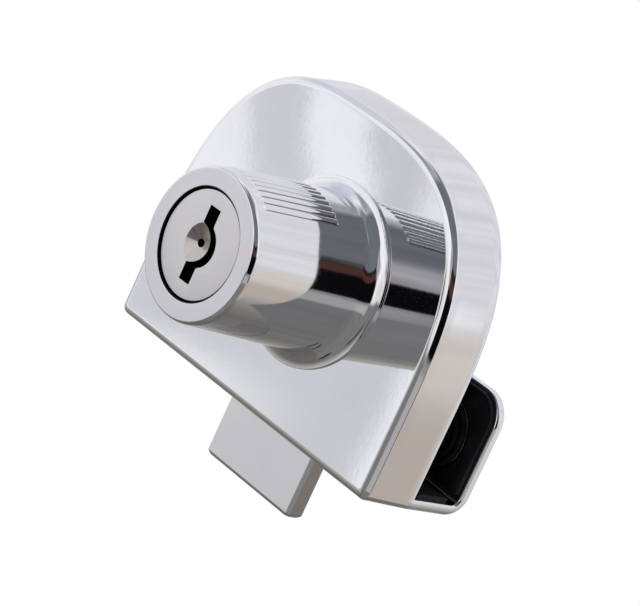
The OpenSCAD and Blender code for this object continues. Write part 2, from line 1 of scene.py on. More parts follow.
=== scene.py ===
"""Looks of a clamp-on lock for a glass cabinet door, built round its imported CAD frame.

Sizes are in millimetres in the classes and become metres where a mesh is made. X runs along the
glass edge, Y from the key to the rear, Z from the flat edge up to the arch.
"""

import logging
import math
from dataclasses import dataclass
from enum import Enum
from functools import partial
from typing import Callable, Sequence

import bmesh
import bpy
import numpy as np
from mathutils import Matrix, Vector


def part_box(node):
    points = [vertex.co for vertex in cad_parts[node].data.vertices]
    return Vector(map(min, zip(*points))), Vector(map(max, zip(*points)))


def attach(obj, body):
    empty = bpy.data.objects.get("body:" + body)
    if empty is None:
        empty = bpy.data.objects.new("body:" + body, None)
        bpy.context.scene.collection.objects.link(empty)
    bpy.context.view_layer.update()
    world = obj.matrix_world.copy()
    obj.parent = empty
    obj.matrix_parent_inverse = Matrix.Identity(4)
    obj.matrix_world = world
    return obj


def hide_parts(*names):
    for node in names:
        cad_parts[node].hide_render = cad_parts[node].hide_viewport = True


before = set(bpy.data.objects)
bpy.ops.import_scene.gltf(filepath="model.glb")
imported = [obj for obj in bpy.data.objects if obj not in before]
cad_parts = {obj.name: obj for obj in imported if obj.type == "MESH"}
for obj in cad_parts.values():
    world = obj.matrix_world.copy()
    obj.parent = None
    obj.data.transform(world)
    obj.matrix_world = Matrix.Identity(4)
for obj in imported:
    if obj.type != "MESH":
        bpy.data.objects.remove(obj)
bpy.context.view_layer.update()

LOG = logging.getLogger("glass_lock")
MM = 0.001

Point2 = tuple[float, float]
Point3 = tuple[float, float, float]
Colour = tuple[float, float, float]
Piece = bpy.types.Object
Socket = bpy.types.NodeSocket
Finishes = dict[str, bpy.types.Material]
FaceTest = Callable[[Vector, Vector], bool]

WHITE = (1.0, 1.0, 1.0)
BORE_COLUMNS = 96
CUT_PAST = 1.0


class Side(Enum):
    """The two ends of the jaw, seen from the key side."""

    LEFT = "left"
    RIGHT = "right"


class Grain(Enum):
    """How a metal surface was finished."""

    POLISHED = "polished"
    TURNED = "turned"
    BRUSHED = "brushed"
    TUMBLED = "tumbled"


def node_box(node: str) -> tuple[np.ndarray, np.ndarray]:
    """Give the corners of a CAD node.

    Args:
        node: the node's name in the frame.

    Returns:
        Its lowest and highest corner in millimetres.
    """
    low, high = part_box(node)
    return np.array(low) / MM, np.array(high) / MM


def screw_axis(side: Side) -> Point2:
    """Give X and Z of a clamp screw's axis."""
    low, high = node_box(f"{side.value}_clamp_screw")
    return float(low[0] + high[0]) / 2, float(low[2] + high[2]) / 2


def angles(start: float, end: float, count: int) -> np.ndarray:
    """Give evenly spaced angles in radians between two angles in degrees, both included."""
    return np.radians(np.linspace(start, end, count))


def quarter(radius: float, start: float, end: float, count: int) -> list[Point2]:
    """Give a rounding's points as their distances from the two straight sides that it joins.

    Args:
        radius: the rounding's radius.
        start: first angle in degrees, from the first side on.
        end: last angle in degrees.
        count: number of points.

    Returns:
        Each point's distance from the first and from the second side.
    """
    return [(radius * (1 - math.cos(t)), radius * (1 - math.sin(t))) for t in angles(start, end, count)]


def arc(centre: Point2, radius: float, start: float, end: float, steps: int) -> list[Point2]:
    """Points of an arc.

    Args:
        centre: its centre.
        radius: its radius.
        start: first angle in degrees.
        end: last angle in degrees.
        steps: number of chords.

    Returns:
        The points, both ends included.
    """
    turns = angles(start, end, steps + 1)
    return [(centre[0] + radius * math.cos(t), centre[1] + radius * math.sin(t)) for t in turns]


def soften(corners: Sequence[Point3], step: float = 12.0) -> list[Point2]:
    """Round the corners of a closed outline.

    Args:
        corners: each corner's place and its radius.
        step: largest turn between two points of a rounding, in degrees.

    Returns:
        The outline's points.
    """
    points: list[Point2] = []
    count = len(corners)
    for i, (x, y, radius) in enumerate(corners):
        corner = np.array((x, y))
        back = np.array(corners[i - 1][:2]) - corner
        ahead = np.array(corners[(i + 1) % count][:2]) - corner
        back_l, ahead_l = np.linalg.norm(back), np.linalg.norm(ahead)
        back, ahead = back / back_l, ahead / ahead_l
        turn = math.pi - math.acos(float(np.clip(back @ ahead, -1.0, 1.0)))
        if radius <= 0 or turn < math.radians(1):
            points.append((x, y))
            continue
        reach = min(radius * math.tan(turn / 2), 0.48 * back_l, 0.48 * ahead_l)
        fitted = reach / math.tan(turn / 2)
        middle = (back + ahead) / np.linalg.norm(back + ahead)
        centre = corner + middle * (fitted / math.cos(turn / 2))
        first, last = corner + back * reach - centre, corner + ahead * reach - centre
        steps = max(1, math.ceil(math.degrees(turn) / step))
        for k in range(steps + 1):
            share = k / steps
            swing = math.sin((1 - share) * turn) * first + math.sin(share * turn) * last
            points.append(tuple(centre + swing / math.sin(turn)))
    return points


def to_object(name: str, points: np.ndarray, faces: Sequence[Sequence[int]]) -> Piece:
    """Make a closed object with its normals outwards.

    Args:
        name: the object's name.
        points: places in millimetres.
        faces: point numbers of each face.

    Returns:
        The object, linked to the scene.
    """
    mesh = bpy.data.meshes.new(name)
    mesh.from_pydata((np.asarray(points, float) * MM).tolist(), [], [list(f) for f in faces])
    edit = bmesh.new()
    edit.from_mesh(mesh)
    bmesh.ops.remove_doubles(edit, verts=edit.verts, dist=1e-4 * MM)
    bmesh.ops.recalc_face_normals(edit, faces=edit.faces)
    edit.to_mesh(mesh)
    edit.free()
    piece = bpy.data.objects.new(name, mesh)
    bpy.context.scene.collection.objects.link(piece)
    return piece


def loft(name: str, rings: Sequence[np.ndarray]) -> Piece:
    """Join rings of equal point count into a closed solid.

    Args:
        name: the object's name.
        rings: each ring's points in millimetres, from one end of the solid to the other.

    Returns:
        The object.
    """
    count, last = len(rings[0]), len(rings) - 1
    points = np.vstack(rings)
    faces = [
        (k * count + i, k * count + (i + 1) % count, (k + 1) * count + (i + 1) % count, (k + 1) * count + i)
        for k in range(last) for i in range(count)
    ]
    faces += [tuple(range(count))[::-1], tuple(last * count + i for i in range(count))]
    return to_object(name, points, faces)


def turned(name: str, profile: Sequence[Point2], columns: int | np.ndarray, place: Point2 = (0.0, 0.0),
           reach_at: Callable[[float, float, float], float] | None = None) -> Piece:
    """Turn a closed profile round an axis that lies along Y.

    Args:
        name: the object's name.
        profile: the profile's points as radius and Y.
        columns: number of even columns, or their angles from +Z towards +X in radians.
        place: X and Z of the axis.
        reach_at: gives a point's own radius from the profile's radius, Y and the angle.

    Returns:
        The object.
    """
    turns = np.arange(columns) * (2 * math.pi / columns) if isinstance(columns, int) else columns
    rows, count = len(profile), len(turns)
    points = []
    for t in turns:
        for r, y in profile:
            reach = reach_at(r, y, t) if reach_at else r
            points.append((place[0] + reach * math.sin(t), y, place[1] + reach * math.cos(t)))
    faces = [
        (i * rows + k, i * rows + (k + 1) % rows, (i + 1) % count * rows + (k + 1) % rows, (i + 1) % count * rows + k)
        for i in range(count) for k in range(rows)
    ]
    return to_object(name, points, faces)


def rod(name: str, radius: float, front: float, rear: float, place: Point2) -> Piece:
    """Make a plain round cutter along Y."""
    return turned(name, [(0.0, front), (radius, front), (radius, rear), (0.0, rear)], BORE_COLUMNS, place)


def at_depth(outline: Sequence[Point2] | np.ndarray, y: float) -> np.ndarray:
    """Stand an outline in X and Z at a depth."""
    flat = np.asarray(outline)
    return np.column_stack([flat[:, 0], np.full(len(flat), y), flat[:, 1]])


def slab(name: str, outline: Sequence[Point2], front: float, rear: float) -> Piece:
    """Give an outline in X and Z a thickness along Y."""
    return loft(name, [at_depth(outline, y) for y in (front, rear)])


def block(name: str, low: Point3, high: Point3) -> Piece:
    """Make a block between two corners, as a cutter."""
    outline = [(low[0], low[2]), (high[0], low[2]), (high[0], high[2]), (low[0], high[2])]
    return slab(name, outline, low[1], high[1])


def settle(piece: Piece) -> None:
    """Turn a piece's modifiers into its plain mesh."""
    graph = bpy.context.evaluated_depsgraph_get()
    mesh = bpy.data.meshes.new_from_object(piece.evaluated_get(graph), preserve_all_data_layers=True, depsgraph=graph)
    piece.modifiers.clear()
    piece.data = mesh


def combine(piece: Piece, other: Piece, operation: str) -> None:
    """Join or cut a piece with another solid, which is used up.

    Args:
        piece: the solid that is kept.
        other: the solid that is added, taken away or shared.
        operation: UNION, DIFFERENCE or INTERSECT.
    """
    modifier = piece.modifiers.new("combine", "BOOLEAN")
    modifier.object = other
    modifier.operation = operation
    modifier.solver = "EXACT"
    settle(piece)
    bpy.data.objects.remove(other)


def polish(piece: Piece, sharp: float = 32.0) -> None:
    """Shade a piece smoothly with flat faces kept flat.

    Args:
        piece: the finished solid.
        sharp: angle in degrees above which an edge stays sharp.
    """
    piece.data.shade_smooth()
    piece.data.set_sharp_from_angle(angle=math.radians(sharp))
    modifier = piece.modifiers.new("even normals", "WEIGHTED_NORMAL")
    modifier.mode = "FACE_AREA"
    modifier.weight = 50
    modifier.keep_sharp = True
    settle(piece)


class Graph:
    """A short way to write a node tree."""

    def __init__(self, tree: bpy.types.NodeTree) -> None:
        """Keep the tree that is written to."""
        self.tree = tree

    def feed(self, node: bpy.types.Node, key: str | int, value: object) -> None:
        """Link a node's input to a socket, or write a plain value or colour into it."""
        socket = node.inputs[key]
        if isinstance(value, Socket):
            self.tree.links.new(value, socket)
        else:
            socket.default_value = (*value, 1.0) if socket.type == "RGBA" else value

    def add(self, kind: str, settings: dict | None = None, **inputs: object) -> bpy.types.Node:
        """Add a node.

        Args:
            kind: the node's type name.
            settings: properties of the node.
            **inputs: socket name, with underscores for spaces, or in_N for a number, to a value or a socket.

        Returns:
            The node.
        """
        node = self.tree.nodes.new(kind)
        for key, value in (settings or {}).items():
            setattr(node, key, value)
        for key, value in inputs.items():
            self.feed(node, int(key[3:]) if key.startswith("in_") else key.replace("_", " "), value)
        return node

    def math(self, operation: str, *values: object) -> Socket:
        """Add a sum with one to three values and give its result."""
        inputs = {f"in_{i}": value for i, value in enumerate(values)}
        return self.add("ShaderNodeMath", {"operation": operation}, **inputs).outputs[0]

    def length(self, first: Socket, second: Socket) -> Socket:
        """Give the length of a line that runs by two values at right angles."""
        squares = [self.math("MULTIPLY", value, value) for value in (first, second)]
        return self.math("SQRT", self.math("ADD", *squares))

    def parts(self, vector: Socket) -> Sequence[Socket]:
        """Split a vector into X, Y and Z."""
        return self.add("ShaderNodeSeparateXYZ", Vector=vector).outputs

    def noise(self, place: Socket, scale: float, detail: float, roughness: float = 0.5) -> Socket:
        """Add a cloudy field from 0 to 1."""
        node = self.add("ShaderNodeTexNoise", Vector=place, Scale=scale, Detail=detail, Roughness=roughness)
        return node.outputs[0]

    def ramp(self, value: Socket, low: float, high: float, out_low: float = 0.0, out_high: float = 1.0) -> Socket:
        """Map a value smoothly from one range to another."""
        node = self.add("ShaderNodeMapRange", {"interpolation_type": "SMOOTHSTEP"}, Value=value, From_Min=low,
                        From_Max=high, To_Min=out_low, To_Max=out_high)
        return node.outputs[0]

    def blend(self, share: object, first: object, second: object) -> Socket:
        """Mix two colours."""
        return self.add("ShaderNodeMix", {"data_type": "RGBA"}, in_0=share, in_6=first, in_7=second).outputs[2]


def new_material(name: str) -> tuple[bpy.types.Material, Graph, bpy.types.Node, Socket]:
    """Start a material.

    Args:
        name: its name.

    Returns:
        The material, its graph, its shader and the object coordinates.
    """
    material = bpy.data.materials.new(name)
    material.use_nodes = True
    graph = Graph(material.node_tree)
    shader = material.node_tree.nodes["Principled BSDF"]
    coordinates = graph.add("ShaderNodeTexCoord").outputs["Object"]
    return material, graph, shader, coordinates


@dataclass(frozen=True)
class MetalFinish:
    """A bare or plated metal surface."""

    name: str
    colour: Colour
    roughness: float
    grain: Grain
    tone: float = 0.03
    wave: float = 0.0
    wave_size: float = 14.0
    tooth: float = 0.05
    # Painted shade near the Y axis: close to it the colour turns near black, with a small share of its own colour
    # kept, and it fades back further out.
    painted_shade_r: float = 0.0
    painted_shade_colour: Colour = (0.006, 0.005, 0.004)
    painted_shade_edge: float = 1.15
    painted_shade_gap: float = 0.015
    tone_scale: float = 160.0
    turned_scale: float = 450.0
    grain_scale: float = 1500.0
    relief: float = 0.02

    def material(self) -> bpy.types.Material:
        """Write the metal's material.

        Returns:
            The material, with its tone, roughness and relief from procedural nodes.
        """
        made, graph, shader, coordinates = new_material(self.name)
        shader.inputs["Metallic"].default_value = 1.0
        dark, light = ([min(1.0, c * (1 + change)) for c in self.colour] for change in (-self.tone, self.tone))
        colour = graph.blend(graph.noise(coordinates, self.tone_scale, 3.0), dark, light)
        # Painted shade: the colour goes near black close to the axis, where the keyway's depth lies in shade.
        if self.painted_shade_r > 0:
            parts, reach = graph.parts(coordinates), self.painted_shade_r * MM
            unshaded = graph.ramp(graph.length(parts[0], parts[2]), reach, reach * self.painted_shade_edge, self.painted_shade_gap)
            colour = graph.blend(unshaded, self.painted_shade_colour, colour)
        graph.feed(shader, "Base Color", colour)
        grain = self.grain_field(graph, coordinates)
        spread = self.roughness * (0.25 if self.grain is Grain.POLISHED else 0.125)
        rough = graph.ramp(grain, 0.3, 0.7, self.roughness - spread, self.roughness + spread)
        graph.feed(shader, "Roughness", rough)
        normal = graph.add("ShaderNodeBump", Height=grain, Strength=self.tooth, Distance=self.relief * MM)
        if self.wave > 0:
            swell = graph.noise(coordinates, 1 / (self.wave_size * MM), 1.0, 0.4)
            normal = graph.add("ShaderNodeBump", Height=swell, Strength=1.0, Distance=self.wave * MM,
                               Normal=normal.outputs[0])
        graph.feed(shader, "Normal", normal.outputs[0])
        return made

    def grain_field(self, graph: Graph, coordinates: Socket) -> Socket:
        """Give the surface's fine grain as a field from 0 to 1."""
        if self.grain is Grain.TURNED:
            parts = graph.parts(coordinates)
            across = graph.length(parts[0], parts[2])
            place = graph.add("ShaderNodeCombineXYZ", X=graph.math("MULTIPLY", across, 24.0), Y=parts[1],
                              Z=graph.math("MULTIPLY", across, 2.0)).outputs[0]
            return graph.noise(place, self.turned_scale, 4.0)
        stretch = {Grain.POLISHED: (1.0, 1.0, 1.0), Grain.BRUSHED: (6.0, 6.0, 0.35), Grain.TUMBLED: (1.6, 1.6, 1.6)}
        place = graph.add("ShaderNodeMapping", Vector=coordinates, Scale=stretch[self.grain]).outputs[0]
        return graph.noise(place, self.grain_scale, 5.0, 0.6)


@dataclass(frozen=True)
class RubberFinish:
    """Matt black rubber with a fine moulded grain."""

    name: str
    colour: Colour = (0.012, 0.012, 0.014)
    roughness: float = 0.55
    spread: float = 0.08
    specular: float = 0.22
    dust: float = 2.6
    dust_scale: float = 220.0
    grain_scale: float = 3000.0
    tooth: float = 0.25
    relief: float = 0.03

    def material(self) -> bpy.types.Material:
        """Write the rubber's material.

        Returns:
            The material.
        """
        made, graph, shader, coordinates = new_material(self.name)
        shader.inputs["Specular IOR Level"].default_value = self.specular
        dusty = graph.ramp(graph.noise(coordinates, self.dust_scale, 5.0), 0.45, 0.75)
        graph.feed(shader, "Base Color", graph.blend(dusty, self.colour, [c * self.dust for c in self.colour]))
        grain = graph.noise(coordinates, self.grain_scale, 2.0)
        rough = graph.ramp(grain, 0.3, 0.7, self.roughness - self.spread, self.roughness + self.spread)
        graph.feed(shader, "Roughness", rough)
        bump = graph.add("ShaderNodeBump", Height=grain, Strength=self.tooth, Distance=self.relief * MM)
        graph.feed(shader, "Normal", bump.outputs[0])
        return made


CHROME = (0.86, 0.86, 0.875)
FINISHES = (
    MetalFinish("body_chrome", CHROME, 0.035, Grain.POLISHED, wave=0.01),
    MetalFinish("knob_chrome", CHROME, 0.05, Grain.POLISHED),
    MetalFinish("ring_satin", (0.79, 0.78, 0.82), 0.34, Grain.TURNED, tooth=0.12),
    MetalFinish("plug_nickel", (0.75, 0.735, 0.745), 0.34, Grain.TURNED, tooth=0.12),
    # Painted shade: a darker chrome laid along the grooves between the grip ribs.
    MetalFinish("groove_shade", (0.30, 0.30, 0.31), 0.25, Grain.POLISHED),
    # Polished, and painted darker and browner than the plug face round it as shade in the dimple.
    MetalFinish("dimple_polish_and_shade", (0.54, 0.51, 0.48), 0.10, Grain.POLISHED),
    # Painted shade: near black laid in the keyway, the drilled point, the wafer rooms and the knob's bore, which lie
    # in shade.
    MetalFinish("keyway_shade_black", (0.02, 0.02, 0.022), 0.5, Grain.TUMBLED),
    MetalFinish("bolt_steel", (0.79, 0.785, 0.81), 0.32, Grain.BRUSHED, tooth=0.05),
    # Painted shade: a darker, browner copy of the bolt's steel for its ends.
    MetalFinish("bolt_end_shade", (0.34, 0.32, 0.30), 0.34, Grain.BRUSHED, tooth=0.04),
    # The wafers are painted into shade within 3.6 mm of the axis, round the keyway.
    MetalFinish("wafer_brass", (0.72, 0.52, 0.22), 0.32, Grain.BRUSHED, painted_shade_r=3.6),
    MetalFinish("spring_steel", (0.52, 0.52, 0.53), 0.28, Grain.POLISHED),
    MetalFinish("driver_steel", (0.62, 0.62, 0.63), 0.34, Grain.TUMBLED),
    MetalFinish("plate_steel", (0.68, 0.68, 0.70), 0.38, Grain.BRUSHED),
    MetalFinish("screw_steel", (0.66, 0.66, 0.68), 0.28, Grain.TUMBLED),
    MetalFinish("clamp_screw_steel", (0.55, 0.55, 0.57), 0.24, Grain.TUMBLED),
    RubberFinish("pad_rubber"),
)


def dress(piece: Piece, *materials: bpy.types.Material) -> None:
    """Give a piece its materials in order."""
    piece.data.materials.clear()
    for material in materials:
        piece.data.materials.append(material)


def stand_for(piece: Piece, body: str, node: str) -> None:
    """Tie a piece to the CAD frame.

    Args:
        piece: the finished piece.
        body: the body that it moves with.
        node: the CAD node that it replaces.
    """
    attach(piece, body)
    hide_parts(node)
    LOG.info("%s rides on %s with %d faces", piece.name, body, len(piece.data.polygons))


def paint_faces(piece: Piece, index: int, chosen: FaceTest) -> None:
    """Give a material to some faces.

    Args:
        piece: the piece, whose materials are set.
        index: the material's place in the piece.
        chosen: says from a face's centre in millimetres and its normal whether it is one of them.
    """
    for face in piece.data.polygons:
        if chosen(face.center / MM, face.normal):
            face.material_index = index


def every_face(place: Vector, normal: Vector) -> bool:
    """Choose all faces."""
    return True


def complete(piece: Piece, finishes: Finishes, names: Sequence[str], body: str, node: str, sharp: float = 32.0,
             tests: Sequence[FaceTest] = ()) -> None:
    """Dress and polish a solid and tie it to the CAD frame.

    Args:
        piece: the solid.
        finishes: the lock's finishes.
        names: its finishes' names, with the one that names its material slot first.
        body: the body that it moves with.
        node: the CAD node that it replaces.
        sharp: angle in degrees above which an edge stays sharp.
        tests: choose the faces of each finish after the first.
    """
    dress(piece, *(finishes[name] for name in names))
    for index, chosen in enumerate(tests, 1):
        paint_faces(piece, index, chosen)
    polish(piece, sharp)
    stand_for(piece, body, node)


@dataclass
class LockBody:
    """The chrome casting: arched body, bridge under the glass edge, and rear jaw with two bosses."""

    finishes: Finishes
    width: float = 47.6
    height: float = 36.6
    arch_h: float = 27.0
    arch_crown: float = 3.2
    left_power: float = 2.7
    right_power: float = 3.1
    axis_offset: float = 3.5
    front_round: float = 1.0
    corner_round: float = 1.0
    flare: float = 0.7
    rim: float = 1.2
    side_wall: float = 1.7
    floor_wall: float = 2.7
    bridge_t: float = 1.5
    jaw_t: float = 1.4
    jaw_h: float = 14.6
    jaw_round: float = 3.6
    bend_out: float = 2.6
    bend_in: float = 0.9
    boss_d: float = 9.6
    boss_h: float = 1.6
    boss_sink: float = 0.2
    boss_round: float = 0.6
    bore_chamfer: float = 0.35
    screw_d: float = 5.1
    window_gap_x: float = 0.12
    window_gap_y: float = 0.1
    fold_hold: float = 0.06
    overlap: float = 0.3
    rear_round: float = 0.18
    slim_edge: Point2 = (0.5, 0.3)
    outline_points: int = 420
    rear: float = -0.6
    plate_front: float = -1.3
    room_front: float = -6.0

    def __post_init__(self) -> None:
        """Take the places from the frame."""
        low, high = node_box("lock_body")
        self.front, self.flat, self.outer = low[1], low[2], high[1]
        self.jaw_outer = self.outer - self.boss_h
        self.jaw_inner = self.jaw_outer - self.jaw_t
        self.shoulder = self.flat + self.height - self.arch_h

    def outline(self, side_in: float, edge_in: float) -> np.ndarray:
        """Give the front view's outline, drawn in from its sides and from its flat edge.

        Args:
            side_in: inset of the sides and the arch.
            edge_in: inset of the flat edge.

        Returns:
            Evenly spaced points in X and Z.
        """
        half, rise, low = self.width / 2 - side_in, self.arch_h - side_in, self.flat + edge_in
        corner = max(0.3, self.corner_round - max(side_in, 0.0))
        turns = angles(0, 180, 721)
        on_right = turns < math.pi / 2
        reach = np.where(on_right, half + self.arch_crown, half - self.arch_crown)
        power = 2 / np.where(on_right, self.right_power, self.left_power)
        arch = np.column_stack([
            reach * np.sign(np.cos(turns)) * np.abs(np.cos(turns)) ** power - self.arch_crown,
            self.shoulder + rise * np.maximum(np.sin(turns), 0) ** power,
        ])
        left = arc((-half + corner, low + corner), corner, 180, 270, 24)
        right = arc((half - corner, low + corner), corner, 270, 360, 24)
        loop = np.vstack([arch, left, right, arch[:1]])
        steps = np.concatenate([[0.0], np.cumsum(np.linalg.norm(np.diff(loop, axis=0), axis=1))])
        wanted = np.linspace(0, steps[-1], self.outline_points, endpoint=False)
        points = np.column_stack([np.interp(wanted, steps, loop[:, k]) for k in (0, 1)])
        return points - (self.axis_offset, 0.0)

    def ring(self, y: float, side_in: float, edge_in: float) -> np.ndarray:
        """Place an outline at a depth."""
        return at_depth(self.outline(side_in, edge_in), y)

    def shell(self) -> Piece:
        """Make the arched body with its hollow rear."""
        hold, soft = self.fold_hold, self.rear_round
        rings = [
            self.ring(self.room_front, self.side_wall, self.floor_wall),
            self.ring(self.plate_front, self.side_wall, self.floor_wall),
            self.ring(self.plate_front, self.rim, self.bridge_t),
            self.ring(self.rear, self.rim, self.bridge_t),
            self.ring(self.rear, soft + hold - self.flare, soft + hold),
        ]
        for inset, depth in quarter(soft, 90, 0, 5):
            rings.append(self.ring(self.rear - depth, inset - self.flare, inset))
        start, end = self.front + self.front_round, self.rear - soft
        for share in np.linspace(0, 1, 7)[1:]:
            rings.append(self.ring(end + (start - end) * share, -self.flare * (1 - share), 0.0))
        for inset, depth in quarter(self.front_round, 0, 90, 11)[1:]:
            rings.append(self.ring(self.front + depth, inset, inset))
        rings.append(self.ring(self.front, self.front_round + hold, self.front_round + hold))
        return loft("body_shell", rings)

    def clamp_ring(self, outer: Point2, inner: Point2, half: float, room: float, edge: Point2) -> np.ndarray:
        """Give the clamp's section across its path, with rounded edges.

        Args:
            outer: Y and Z of the path on the outside.
            inner: Y and Z of the path on the inside.
            half: half width at the section's middle.
            room: how far the section may be drawn in, which is short near the jaw's top.
            edge: radius of the outer and of the inner edges.

        Returns:
            The section's points.
        """
        away = np.array(outer) - np.array(inner)
        away = away / np.linalg.norm(away)
        points = []
        corners = ((1, outer, -1, edge[0]), (-1, outer, -1, edge[0]), (-1, inner, 1, edge[1]), (1, inner, 1, edge[1]))
        for side, base, inward, radius in corners:
            full = 90.0 if room >= radius else math.degrees(math.acos(max(0.0, 1 - room / radius)))
            held = quarter(radius, 0, full, 9)
            held.append((min(room, held[-1][0] + self.fold_hold), held[-1][1]))
            for inset, depth in (held if side == -inward else held[::-1]):
                y, z = np.array(base) + away * inward * depth
                points.append((side * self.width_at(half, inset, room) - self.axis_offset, y, z))
        return np.array(points)

    def width_at(self, half: float, inset: float, room: float) -> float:
        """Give the half width of the jaw at an inset, where its upper corner is round."""
        if room > self.jaw_round:
            return half - inset
        reach, level = self.jaw_round - inset, self.jaw_round - room
        return half - self.jaw_round + math.sqrt(max(0.0, reach ** 2 - level ** 2))

    def clamp(self) -> Piece:
        """Make the bridge and the jaw as one bent plate."""
        half, far = self.width / 2 + self.flare, 99.0
        top, bridge_top = self.flat + self.jaw_h, self.flat + self.bridge_t
        slim = self.slim_edge
        wide = (self.corner_round, slim[1])
        stations = [((y, self.flat), (y, bridge_top), far, wide)
                    for y in np.linspace(self.plate_front + self.overlap, self.jaw_outer - self.bend_out, 5)]
        for turn in angles(0, 90, 15):
            back, up = 1 - math.sin(turn), 1 - math.cos(turn)
            outer = (self.jaw_outer - self.bend_out * back, self.flat + self.bend_out * up)
            inner = (self.jaw_inner - self.bend_in * back, bridge_top + self.bend_in * up)
            edge = (wide[0] + (slim[0] - wide[0]) * turn / (math.pi / 2), slim[1])
            stations.append((outer, inner, far, edge))
        level = top - self.jaw_round
        heights = list(np.linspace(self.flat + self.bend_out, level, 5)[1:])
        heights += [level + self.jaw_round * math.sin(t) for t in angles(0, 60, 13)[1:]]
        heights += [top - slim[0] * (1 - math.cos(t)) for t in angles(85, 0, 10)]
        for z in heights:
            room = far if z <= level else top - z
            stations.append(((self.jaw_outer, z), (self.jaw_inner, z), room, slim))
        rings = [self.clamp_ring(outer, inner, half, room, edge) for outer, inner, room, edge in stations]
        return loft("clamp_plate", rings)

    def boss(self, place: Point2) -> Piece:
        """Make one screw boss with a rounded rim and a chamfer at its bore."""
        r, bore, foot = self.boss_d / 2, self.screw_d / 2, self.jaw_inner + self.boss_sink
        profile = soften([
            (bore, foot, 0.0), (r, foot, 0.0), (r, self.outer, self.boss_round),
            (bore + self.bore_chamfer, self.outer, 0.1), (bore, self.outer - self.bore_chamfer, 0.0),
        ], 10.0)
        return turned("boss", profile, 128, place)

    def build(self) -> None:
        """Make and dress the casting."""
        piece = self.shell()
        combine(piece, self.clamp(), "UNION")
        for place in map(screw_axis, Side):
            combine(piece, self.boss(place), "UNION")
            bore = rod("bore", self.screw_d / 2, self.jaw_inner - CUT_PAST, self.outer + CUT_PAST, place)
            combine(piece, bore, "DIFFERENCE")
        low, high = node_box("lock_bolt")
        window = block("window", (low[0] - self.window_gap_x, low[1] - self.window_gap_y, self.flat - CUT_PAST),
                       (high[0] + self.window_gap_x, self.plate_front, self.flat + self.floor_wall + 0.5))
        combine(piece, window, "DIFFERENCE")
        complete(piece, self.finishes, ["body_chrome"], "body", "lock_body")


